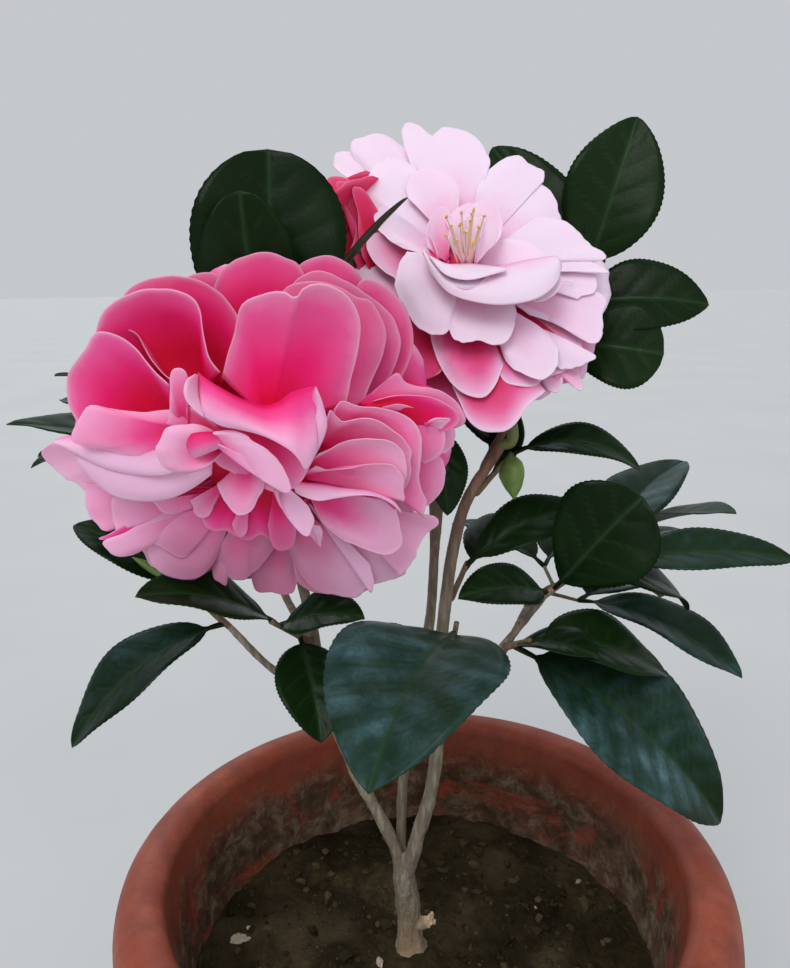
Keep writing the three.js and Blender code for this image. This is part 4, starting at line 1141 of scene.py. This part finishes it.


# Petals placed one by one. A height is measured from the bloom's middle toward its front.
# Fan: root (place in the picture and height), heights of the rim at its start, middle and end, the rim's places.
# Band: inner and outer edge, each of places and heights.
# Both end with hollow, roll of the rim, paleness, and how far the deep colour reaches.
FRONT_PETALS = [
    # behind, from the left over the top to the right
    [(200, 400, -2), (-5, -5, -5), [(176, 300), (180, 284), (190, 276), (205, 273), (217, 277), (226, 290)],
     (2, 1.0, 0.0, 1.9)],
    [(262, 400, 0), (-3, -4, -4), [(206, 335), (214, 283), (230, 264), (248, 256), (266, 254), (284, 259), (300, 269),
     (314, 300)], (3, 1.5, -0.2, 3.0)],
    [(285, 400, -1), (-6, -7, -8), [(292, 290), (296, 270), (312, 259), (330, 257), (345, 262), (357, 272),
     (366, 288)], (2, 1.5, -0.3, 3.0)],
    [(300, 410, 1), (-4, -4, -4), [(350, 300), (360, 283), (371, 281), (386, 288), (400, 301), (409, 317), (414, 335),
     (413, 352), (408, 368), (396, 388)], (3, 1.6, -0.3, 2.2)],
    [(300, 415, 4), (0, 0, 0), [(288, 292), (298, 279), (314, 273), (328, 275), (344, 282), (362, 293), (380, 306),
     (394, 322), (401, 340), (399, 358), (391, 378), (374, 398)], (4, 1.6, -0.05, 1.4)],
    [(300, 420, 7), (6, 6, 5), [(276, 300), (286, 288), (300, 284), (316, 283), (336, 287), (356, 299), (369, 303),
     (378, 314), (386, 334), (384, 356), (374, 380), (362, 408)], (4, 1.5, 0.1, 0.9)],
    # left, from the top down
    [(218, 388, 2), (1, 2, 6), [(118, 304), (128, 290), (142, 282), (160, 278), (180, 278), (197, 282), (212, 290),
     (226, 303), (238, 322), (242, 352)], (4, 1.0, -0.1, 2.6)],
    [(198, 396, 2), (9, 12, 16), [(92, 342), (95, 328), (101, 314), (112, 304), (127, 296), (143, 291), (160, 291),
     (178, 293), (191, 300), (198, 312), (200, 328), (203, 344), (208, 360), (219, 374)], (4.5, 0.6, -0.3, 3.0)],
    [(178, 400, 3), (7, 8, 15), [(90, 345), (96, 333), (108, 331), (124, 331), (135, 337), (142, 349), (150, 362),
     (160, 374), (171, 382)], (4, 0.4, 0.1, 1.6)],
    [(176, 420, 8), (8, 11, 20), [(78, 428), (69, 410), (65, 392), (65, 376), (73, 363), (84, 350), (92, 336),
     (105, 334), (120, 340), (134, 351), (144, 363), (155, 375), (168, 386)], (2.5, 1.0, 0.0, 2.0)],
    [(184, 440, -2), (-6, -6, -4), [(90, 500), (74, 486), (60, 480), (50, 470), (42, 461), (40, 452), (52, 444),
     (70, 440)], (2, 1.0, 0.9, 0.8)],
    [[(214, 452, 17), (190, 456, 18), (150, 452, 16), (100, 448, 12), (76, 452, 8)],
     [(212, 474, 20), (194, 487, 19), (170, 498, 17), (146, 501, 15), (118, 496, 12), (98, 484, 9), (80, 466, 6)],
     (-2, 0.5, 1.2, 0.55)],
    [[(190, 440, 18), (150, 440, 16), (110, 436, 12), (70, 436, 6), (56, 440, 3)],
     [(182, 470, 22), (160, 475, 20), (132, 474, 17), (108, 468, 14), (88, 459, 11), (72, 451, 8), (53, 441, 4)],
     (-2, 0.5, 1.2, 0.55)],
    [(196, 432, 17), (16, 14, 20), [(172, 410), (150, 412), (128, 411), (108, 408), (91, 405), (82, 415), (75, 429),
     (75, 440), (90, 446), (108, 449), (122, 455), (135, 462), (149, 464), (166, 460)], (-2, 0.5, 0.45, 1.1)],
    # right, from the top down
    [(356, 406, 7), (6, 7, 2), [(372, 398), (384, 384), (397, 374), (404, 383), (414, 387), (430, 389), (445, 394),
     (458, 404), (466, 416), (465, 424), (456, 428)], (1, 0.5, 0.3, 0.8)],
    [(364, 408, 9), (9, 8, 5), [(374, 401), (393, 397), (412, 397), (433, 399), (447, 405), (457, 412), (460, 422),
     (450, 430), (430, 434)], (2, 0.0, -0.3, 4.0)],
    [(426, 424, 9), (10, 9, 7), [(430, 420), (440, 418), (451, 419), (447, 424), (440, 429)], (0, 0.0, 0.9, 0.6)],
    [(420, 440, 2), (1, 0, 0), [(438, 432), (446, 430), (453, 429), (456, 437), (453, 446), (444, 454)],
     (0, 0.5, 0.6, 0.8)],
    [(380, 470, 3), (3, 1, -1), [(426, 448), (434, 455), (441, 460), (446, 468), (447, 478), (444, 490), (437, 500),
     (428, 508), (412, 514)], (1, 1.0, 0.3, 0.8)],
    [(340, 430, 9), (11, 8, 5), [(352, 412), (368, 410), (384, 409), (399, 406), (413, 409), (426, 415), (435, 424),
     (444, 431), (446, 440), (444, 450), (438, 458), (424, 466)], (2, 1.0, 0.2, 1.1)],
    [(326, 440, 11), (16, 13, 8), [(334, 412), (341, 404), (350, 406), (362, 410), (377, 411), (394, 415), (409, 421),
     (419, 431), (423, 445), (420, 462), (419, 480), (422, 494), (427, 505), (424, 520)], (3, 1.0, 0.2, 1.0)],
    [(318, 448, 13), (22, 17, 11), [(327, 420), (331, 411), (335, 419), (342, 425), (352, 423), (366, 421), (381, 425),
     (393, 433), (404, 441), (410, 452), (412, 466), (408, 482), (400, 496)], (3, 1.0, 0.4, 0.85)],
    [(306, 466, 18), (25, 21, 14), [(319, 456), (330, 452), (342, 446), (356, 443), (371, 442), (386, 443), (398, 449),
     (406, 460), (408, 474), (402, 488)], (3, 1.0, 0.7, 0.7)],
    [(300, 478, 17), (25, 21, 15), [(315, 468), (328, 472), (347, 470), (362, 467), (378, 467), (391, 469), (401, 476),
     (406, 490), (404, 504)], (3, 0.5, 0.75, 0.7)],
    # lower fan, the hindmost first
    [(232, 488, 1), (-4, -3, -3), [(82, 486), (84, 500), (88, 514), (94, 524), (101, 531), (112, 531), (122, 522)],
     (1, 1.0, 0.5, 1.0)],
    [(236, 490, 1), (-4, -5, -4), [(140, 548), (146, 563), (154, 571), (167, 576), (176, 580), (190, 581), (203, 576),
     (214, 567), (226, 556)], (1, 1.0, 0.8, 1.0)],
    [(262, 500, 1), (-5, -6, -5), [(240, 560), (248, 572), (252, 585), (258, 594), (272, 596), (284, 598), (292, 594),
     (297, 585), (308, 572)], (1, 1.0, 0.8, 1.0)],
    [(286, 508, 4), (-1, -3, -2), [(296, 582), (304, 588), (316, 594), (332, 596), (350, 600), (361, 596), (371, 590),
     (378, 576), (380, 560)], (1, 1.5, 0.95, 0.7)],
    [(320, 510, 4), (-1, -3, -2), [(368, 588), (376, 585), (388, 581), (399, 577), (405, 572), (398, 564), (392, 552)],
     (0, 1.0, 1.0, 0.6)],
    [(330, 500, 5), (2, 0, -2), [(400, 578), (410, 569), (417, 560), (418, 552), (422, 545), (428, 536), (437, 530),
     (440, 524), (436, 519), (425, 518), (414, 514)], (2, 1.0, 0.7, 0.8)],
    [(240, 488, 5), (2, 0, 1), [(112, 497), (112, 508), (114, 520), (116, 532), (124, 527), (138, 514), (156, 500)],
     (0, 0.8, 0.6, 1.1)],
    [(240, 490, 4), (-1, 0, 0), [(150, 506), (132, 519), (108, 535), (97, 540), (108, 540), (128, 528), (150, 514)],
     (0, 0.0, -0.3, 3.5)],
    [(240, 492, 5), (3, 1, 1), [(160, 503), (151, 514), (137, 526), (119, 536), (102, 543), (110, 553), (117, 557),
     (130, 557), (144, 551), (152, 545)], (0, 1.0, 0.75, 0.8)],
    [(236, 490, 5), (-1, 0, 1), [(150, 537), (147, 552), (150, 566), (158, 575), (172, 580), (190, 580), (204, 574),
     (214, 562), (222, 546), (228, 526)], (0, 1.0, 0.8, 0.7)],
    [(238, 490, 7), (2, 2, 2), [(152, 526), (151, 539), (158, 546), (166, 552), (176, 558), (186, 558), (194, 549),
     (199, 536), (204, 520)], (0, 0.8, 0.6, 0.9)],
    [(246, 500, 4), (-2, -2, -1), [(211, 560), (213, 576), (220, 582), (226, 586), (223, 574), (222, 560)],
     (0, 0.5, 0.9, 0.8)],
    [(250, 496, 5), (0, 0, 1), [(214, 556), (222, 570), (232, 580), (244, 580), (252, 573), (262, 566), (272, 552),
     (278, 534)], (0, 1.0, 0.75, 0.9)],
    [(290, 500, 6), (2, 0, 0), [(284, 546), (296, 568), (308, 584), (322, 594), (344, 598), (360, 596), (371, 588),
     (370, 570), (356, 552), (334, 536)], (0, 1.0, 0.9, 0.6)],
    [(306, 500, 8), (3, 2, 2), [(352, 552), (357, 566), (364, 582), (372, 593), (374, 580), (372, 568), (366, 560)],
     (0, 0.0, 1.2, 0.4)],
    [(244, 470, 7), (7, 6, 7), [(198, 506), (204, 524), (214, 531), (226, 530), (238, 537), (250, 540), (262, 534),
     (274, 542), (288, 546), (296, 532), (300, 508)], (0, 0, -0.35, 2.6)],
    [(226, 480, 10), (9, 8, 9), [(190, 500), (194, 512), (201, 518), (210, 514), (214, 500)], (0, 0, 0.5, 0.9)],
    [(248, 490, 9), (9, 8, 8), [(232, 524), (236, 534), (242, 537), (247, 530), (248, 516)], (0, 0, 0.3, 1.0)],
    [(274, 488, 9), (8, 8, 8), [(268, 526), (272, 544), (282, 550), (292, 546), (296, 532), (294, 514)],
     (0, 0, 0.2, 1.2)],
    [(240, 488, 9), (7, 6, 7), [(150, 500), (160, 510), (172, 514), (186, 511), (200, 504), (212, 492)],
     (0, 0.5, 0.4, 1.1)],
    [(306, 488, 14), (19, 13, 16), [(316, 512), (321, 523), (333, 538), (350, 546), (368, 553), (385, 559), (397, 555),
     (403, 547), (402, 532), (399, 520), (392, 503)], (2, 1.5, 0.75, 0.9)],
    [[(292, 481, 19), (305, 483, 21), (320, 484, 22), (338, 487, 22), (355, 489, 21), (371, 491, 19), (392, 500, 16),
      (401, 510, 14)],
     [(296, 492, 22), (304, 496, 24), (319, 500, 25), (338, 497, 24), (358, 494, 23), (376, 496, 21), (391, 503, 18),
      (401, 513, 15)], (-1, 0.0, 1.1, 0.5)],
    # the heart-shaped petal in the middle, the saddle over it, and the small ones round the throat
    [(268, 424, 12), (13, 27, 12), [(220, 380), (226, 356), (232, 336), (235, 320), (239, 308), (248, 301), (260, 297),
     (276, 294), (288, 296), (295, 302), (299, 294), (308, 288), (322, 286), (336, 290), (347, 298), (356, 311),
     (360, 328), (359, 348), (355, 368), (350, 388), (346, 410)], (5, 1.0, 0.02, 1.25)],
    [(190, 440, 20), (22, 25, 25), [(168, 418), (170, 404), (170, 390), (170, 376), (174, 369), (184, 371), (188, 380),
     (187, 392), (186, 406)], (-1, 1.0, 0.3, 1.2)],
    [[(198, 374, 25), (202, 386, 25), (206, 400, 26)],
     [(196, 373, 29), (188, 378, 30), (185, 390, 31), (190, 402, 31), (204, 416, 31)], (-3, 0.0, 0.9, 0.5)],
    [[(198, 373, 25), (206, 379, 26), (220, 388, 27), (236, 397, 26), (252, 403, 24), (266, 406, 23), (279, 402, 24),
      (291, 393, 27), (304, 389, 30), (316, 387, 31)],
     [(204, 416, 31), (208, 418, 31), (222, 425, 32), (238, 428, 32), (258, 433, 33), (276, 440, 34), (292, 450, 35),
      (300, 460, 35), (307, 469, 34), (318, 448, 33)], (-3, 0.5, 0.75, 0.75)],
    [[(290, 393, 26), (304, 389, 29), (316, 387, 31)],
     [(307, 469, 34), (317, 452, 33), (325, 434, 33), (327, 420, 32), (322, 401, 32), (316, 387, 31)],
     (-2, 0.5, 0.75, 0.6)],
    [(256, 414, 14), (22, 20, 24), [(190, 424), (200, 446), (214, 462), (234, 474), (256, 484), (280, 492), (300, 484),
     (312, 462), (318, 436)], (0, 0.3, 0.25, 1.6)],
    [(224, 440, 20), (24, 24, 26), [(166, 424), (172, 412), (180, 407), (190, 408), (202, 415), (216, 426)],
     (0, 0.5, 0.3, 0.9)],
    [(224, 446, 22), (27, 29, 26), [(214, 429), (194, 423), (176, 423), (165, 429), (158, 440), (156, 452), (161, 463),
     (174, 469), (191, 471), (207, 465), (222, 452)], (-5, 0.5, 0.75, 0.7)],
    [[(180, 439, 30), (192, 434, 31), (206, 432, 31), (220, 433, 30)],
     [(190, 458, 29), (200, 455, 30), (212, 450, 30), (222, 446, 29)], (-2, 0.0, 0.5, 1.0)],
    [(250, 452, 15), (19, 23, 19), [(217, 484), (219, 494), (226, 505), (232, 512), (240, 515), (251, 511), (259, 497),
     (264, 482), (260, 468)], (-2, 1.0, 0.55, 0.9)],
    [(270, 482, 17), (22, 24, 21), [(278, 491), (280, 504), (288, 518), (299, 531), (309, 535), (314, 524), (308, 506),
     (294, 493), (284, 488)], (-1, 0.5, 1.3, 0.4)],
    [(206, 437, 28), (31, 32, 31), [(214, 432), (232, 431), (250, 438), (266, 448), (279, 460), (288, 476), (291, 487),
     (287, 491), (277, 487), (265, 477), (256, 466), (250, 457), (234, 451), (219, 444)], (-2, 0.3, 0.85, 0.6)],
    [(298, 520, 14), (14, 14, 14), [(314, 530), (316, 540), (320, 547), (322, 536), (320, 526)], (0, 0.0, 1.2, 0.4)],
]
UPPER_PETALS = [
    # hindmost, under the open ones
    [(468, 300, -4), (-9, -10, -10), [(452, 384), (459, 399), (467, 416), (479, 426), (494, 429), (508, 428),
     (519, 418), (531, 402), (546, 390)], (1, 1.0, -0.3, 6.0)],
    [(500, 320, -9), (-14, -14, -14), [(538, 378), (544, 385), (550, 391), (557, 392), (563, 383), (564, 370)],
     (0, 0.5, 0.1, 2.0)],
    [(500, 320, -10), (-14, -15, -15), [(560, 372), (568, 381), (578, 390), (583, 388), (581, 376), (576, 360)],
     (0, 0.5, 0.1, 2.2)],
    [(490, 310, -8), (-12, -12, -12), [(548, 376), (560, 372), (572, 366), (580, 358), (582, 340), (574, 326)],
     (0, 0.5, 0.1, 1.4)],
    [(490, 305, -6), (-8, -9, -10), [(556, 345), (570, 346), (584, 348), (595, 356), (590, 362), (576, 368),
     (560, 368)], (0, 0.5, 0.8, 0.8)],
    [(470, 290, -1), (-4, -6, -6), [(430, 330), (433, 346), (441, 365), (451, 381), (463, 392), (476, 396),
     (488, 393), (497, 380), (504, 362)], (1, 1.2, 0.0, 3.2)],
    [(480, 300, -3), (-6, -8, -8), [(496, 366), (506, 380), (522, 385), (538, 381), (548, 368)],
     (1, 0.8, 0.0, 4.0)],
    [(480, 290, 0), (-2, -4, -4), [(500, 338), (505, 355), (516, 369), (530, 375), (543, 377), (554, 369), (559, 358),
     (558, 345), (548, 330)], (1, 1.5, 0.75, 0.8)],
    [(480, 280, -3), (-5, -6, -5), [(530, 314), (550, 318), (568, 322), (578, 330), (588, 338), (597, 339), (603, 333),
     (605, 321), (604, 310), (608, 300), (604, 292), (594, 287), (580, 280)], (2, 1.5, 0.65, 0.8)],
    [(480, 272, -2), (-3, -4, -4), [(560, 254), (576, 256), (589, 258), (596, 268), (598, 280), (592, 290),
     (578, 296)], (2, 1.0, 0.85, 0.6)],
    # back row, from the left over the top to the right
    [(455, 250, -1), (-3, -4, -3), [(372, 192), (358, 183), (345, 174), (336, 165), (332, 156), (336, 149), (345, 147),
     (356, 150), (368, 158)], (1, 1.5, 0.95, 0.6)],
    [(455, 250, 0), (-2, -2, -1), [(354, 156), (350, 142), (355, 134), (370, 132), (386, 133), (399, 138), (410, 148)],
     (2, 1.5, 0.9, 0.7)],
    [(462, 255, 3), (1, 1, 2), [(410, 160), (404, 140), (401, 122), (406, 113), (418, 116), (431, 127), (436, 122),
     (444, 117), (456, 118), (468, 124), (480, 136), (487, 148), (490, 160), (482, 176)], (4, 2.0, 0.95, 0.65)],
    [(468, 258, 4), (4, 2, -1), [(478, 178), (484, 166), (494, 157), (506, 151), (521, 150), (533, 158), (544, 166),
     (545, 174), (541, 180), (551, 185), (558, 195), (559, 205), (562, 213), (556, 222)], (3, 2.0, 0.95, 0.65)],
    [(474, 262, 1), (0, -2, -3), [(540, 214), (558, 219), (572, 227), (588, 239), (602, 251), (604, 257), (594, 260),
     (570, 262)], (0, 0.5, 1.2, 0.4)],
    [(500, 268, -1), (-3, -4, -4), [(588, 260), (600, 265), (608, 270), (609, 274), (598, 273), (586, 270)],
     (0, 0.3, 1.2, 0.4)],
    # left, the hollow petals
    [(440, 262, 2), (0, -1, 3), [(376, 216), (367, 228), (366, 242), (372, 256), (383, 266), (393, 274), (398, 287)],
     (4, 0.5, 0.2, 1.5)],
    [(452, 256, 5), (6, 4, 9), [(384, 200), (376, 206), (373, 213), (378, 225), (389, 237), (402, 245), (415, 250),
     (426, 260)], (1, 1.0, 0.9, 0.6)],
    [(455, 250, 6), (6, 6, 7), [(392, 208), (380, 206), (371, 197), (366, 186), (368, 172), (375, 161), (386, 154),
     (400, 154), (413, 160), (421, 172), (430, 180)], (2, 2.0, 1.0, 0.55)],
    [(458, 248, 9), (9, 9, 11), [(408, 196), (406, 180), (412, 168), (424, 164), (438, 167), (452, 175), (459, 187),
     (456, 200)], (2, 1.0, 0.8, 0.8)],
    # front, over the hindmost
    [(462, 272, 6), (6, 4, 4), [(448, 324), (453, 334), (464, 341), (477, 338), (492, 340), (506, 337), (514, 326),
     (517, 310), (514, 298)], (1, 1.5, 0.9, 0.65)],
    [(456, 268, 9), (9, 5, 7), [(407, 250), (401, 264), (396, 284), (398, 299), (406, 307), (412, 321), (422, 330),
     (435, 333), (448, 327), (453, 314), (456, 298)], (-1, 1.5, 0.95, 0.55)],
    [(472, 262, 8), (11, 9, 9), [(498, 238), (512, 236), (530, 240), (548, 254), (560, 270), (562, 284), (552, 294),
     (536, 300)], (1, 1.0, 0.95, 0.55)],
    [[(424, 250, 15), (434, 262, 15), (450, 274, 15), (470, 276, 15), (494, 270, 14), (518, 262, 13), (540, 258, 11),
      (556, 256, 9)],
     [(423, 254, 17), (434, 276, 17), (452, 295, 16), (484, 304, 15), (512, 305, 13), (538, 299, 11), (556, 284, 10),
      (562, 266, 9)], (-2, 0.8, 1.0, 0.5)],
    [[(444, 270, 15), (456, 276, 15), (470, 278, 15), (488, 274, 15)],
     [(445, 271, 17), (456, 286, 18), (472, 288, 18), (489, 275, 17)], (0, 0.1, 0.15, 0.8)],
    [[(430, 256, 18), (448, 264, 19), (474, 264, 19), (506, 268, 17)],
     [(430, 257, 19), (446, 274, 21), (474, 278, 21), (506, 270, 18)], (0, 0.6, 1.1, 0.4)],
    # round the stamens
    [(448, 262, 9), (18, 17, 13), [(427, 246), (426, 228), (431, 212), (440, 204), (448, 206), (452, 218)],
     (2, 0.5, 0.6, 1.0)],
    [(472, 262, 9), (15, 17, 16), [(462, 216), (470, 202), (482, 196), (494, 198), (502, 212), (501, 230),
     (492, 246)], (2, 0.5, 0.75, 0.9)],
    [(462, 262, 9), (13, 14, 13), [(446, 222), (454, 208), (466, 202), (478, 208), (484, 224)], (1, 0.5, 0.7, 0.9)],
    [(438, 266, 12), (16, 16, 16), [(425, 244), (427, 232), (432, 240), (438, 254)], (0, 0.0, 0.1, 1.5)],
    [(464, 266, 13), (24, 25, 24), [(448, 240), (450, 224), (457, 217), (464, 220), (466, 232)], (0, 0.4, 1.25, 0.3)],
    [(468, 266, 13), (25, 27, 24), [(460, 232), (466, 216), (474, 212), (482, 218), (482, 234)], (0, 0.4, 1.25, 0.3)],
    [(474, 266, 13), (24, 25, 22), [(478, 238), (484, 222), (492, 220), (497, 230), (494, 244)], (0, 0.4, 1.2, 0.3)],
]
REAR_PETALS = [
    [(362, 300, 0), (4, 2, 0), [(330, 262), (326, 240), (330, 214), (330, 196), (326, 179), (338, 176), (352, 182),
     (364, 196), (372, 216)], (2, 1.0, 0.0, 1.3)],
    [(372, 300, 4), (8, 7, 6), [(350, 250), (356, 226), (344, 204), (336, 182), (350, 182), (364, 190), (374, 208),
     (384, 236)], (2, 0.8, 0.1, 1.2)],
    [(384, 296, 7), (10, 10, 8), [(362, 256), (358, 232), (358, 212), (352, 188), (364, 190), (374, 204), (384, 222),
     (396, 250)], (2, 0.6, -0.2, 1.8)],
    [(396, 300, -4), (-6, -8, -8), [(340, 280), (352, 262), (372, 250), (392, 262), (404, 290), (410, 320)],
     (0, 0.5, -0.5, 3.0)],
    [(392, 348, 2), (-2, 0, 0), [(404, 316), (414, 324), (427, 333), (432, 347), (430, 361), (419, 372), (407, 382)],
     (1, 1.0, 0.2, 1.1)],
    [(420, 372, -8), (-8, -10, -10), [(404, 372), (420, 352), (440, 352), (458, 376), (468, 404), (462, 420),
     (440, 408)], (0, 0.5, -0.5, 4.0)],
]
BLOOMS = [
    ("bloom_front", FRONT_CENTRE, FRONT_AXIS, "stem_left",
     ring(12, 2, [98, 105], 10, [68, 63, 62, 63, 66, 56, 52, 60], [48, 9, 0.04], [-5, -8])
     + ring(10, 20, [114, 122], 14, [47], [40, 22, 0.04], [-8, -10]), FRONT_PETALS),
    ("bloom_upper", (20, 6, 485), (-0.08, -0.77, 0.63), "stem_right",
     ring(10, 8, [98, 107], 10, [54, 55, 60, 51, 43, 49, 50, 54], [44, 10, 0.04], [-8, -11])
     + ring(9, 25, [114, 122], 14, [40], [36, 22, 0.04], [-11, -12]), UPPER_PETALS),
    ("bloom_rear", (-28, 51, 482), (-0.6, 0.7, 0.38), "stem_middle",
     ring(6, 10, [100, 92], 10, [44], [43, 20, 0.04], [-6, -2])
     + ring(6, 40, [80, 76], 10, [42], [40, 20, 0.04], [-1, 2])
     + ring(5, 20, [60, 54], 10, [36], [34, 20, 0.04], [8, 10])
     + ring(4, 50, [38, 30], 10, [27], [24, 24, 0.04], [12, 14]), []),
]
REAR_SEEN = ((-28, 34, 470), (0, -1, 0))  # the side of the rear bloom that shows between the two others
# name: slot, the hub's radius and height, then for the rings the paleness at the top and its gain to the bottom, the
# same for how far the deep colour reaches, and the colours from the root over the full and the light to the edge
BLOOM_LOOKS = {
    "bloom_front": ("petal_pink", (20, 5), (-0.1, 0.9), (2.2, -1.2),
                    ((0.72, 0.003, 0.055), (0.95, 0.018, 0.21), (0.93, 0.110, 0.37), (0.93, 0.50, 0.72))),
    "bloom_upper": ("petal_pale", (14, 7), (0.9, -1.1), (0.8, 3.2),
                    ((0.62, 0.012, 0.09), (0.82, 0.10, 0.30), (0.88, 0.42, 0.64), (0.90, 0.68, 0.83))),
    "bloom_rear": ("petal_deep", (14, 7), (0.0, 0.0), (1.3, 0.0),
                   ((0.28, 0.001, 0.008), (0.66, 0.010, 0.060), (0.82, 0.05, 0.18), (0.86, 0.22, 0.38))),
}


def build_blooms():
    calyx, threads, tips = Form(), Form(), Form()
    for number, (name, centre, axis, limb, rings, placed) in enumerate(BLOOMS):
        slot, hub, pale, depth, colours = BLOOM_LOOKS[name]
        bloom = Bloom(centre, axis, limb)
        random = np.random.default_rng(100 + number)
        petals = Form()
        build_hub(petals, bloom, *hub)
        for row in rings:
            down = smooth(-math.sin(math.radians(row[0])), -0.2, 0.7)
            ring_petal(petals, bloom, row, random, pale[0] + pale[1] * down, depth=depth[0] + depth[1] * down)
        for row in placed:
            (fan_petal if len(row) == 4 else band_petal)(petals, bloom, row, random)
        if name == "bloom_rear":
            for row in REAR_PETALS:
                fan_petal(petals, Bloom(*REAR_SEEN, limb), row, random)
        keep(petals.piece(name + "_petals", petal_material(slot, *colours)), slot, name)
        build_sepals(calyx, bloom, random)
        build_stalk(calyx, bloom)
        if name == "bloom_upper":
            build_stamens(threads, tips, bloom, random)
    keep(calyx.piece("calyx", plain_paint("calyx_scales", (0.09, 0.13, 0.035), (0.19, 0.21, 0.07), 90, 0.5)), "leaf")
    keep(threads.piece("stamen_threads", plain_paint("pale_threads", (0.88, 0.62, 0.42), (0.93, 0.78, 0.60), 60, 0.5)),
         "petal_pale")
    keep(tips.piece("stamen_tips", plain_paint("pollen", (0.72, 0.42, 0.05), (0.86, 0.62, 0.14), 300, 0.75)),
         "petal_pale")


LEAF = leaf_material()
BARK = bark_material()
BALL, BALL_FACES = ball(2)

build_pot()
build_soil()
build_limbs()
build_masses()
build_blooms()
add_stage()
add_camera()
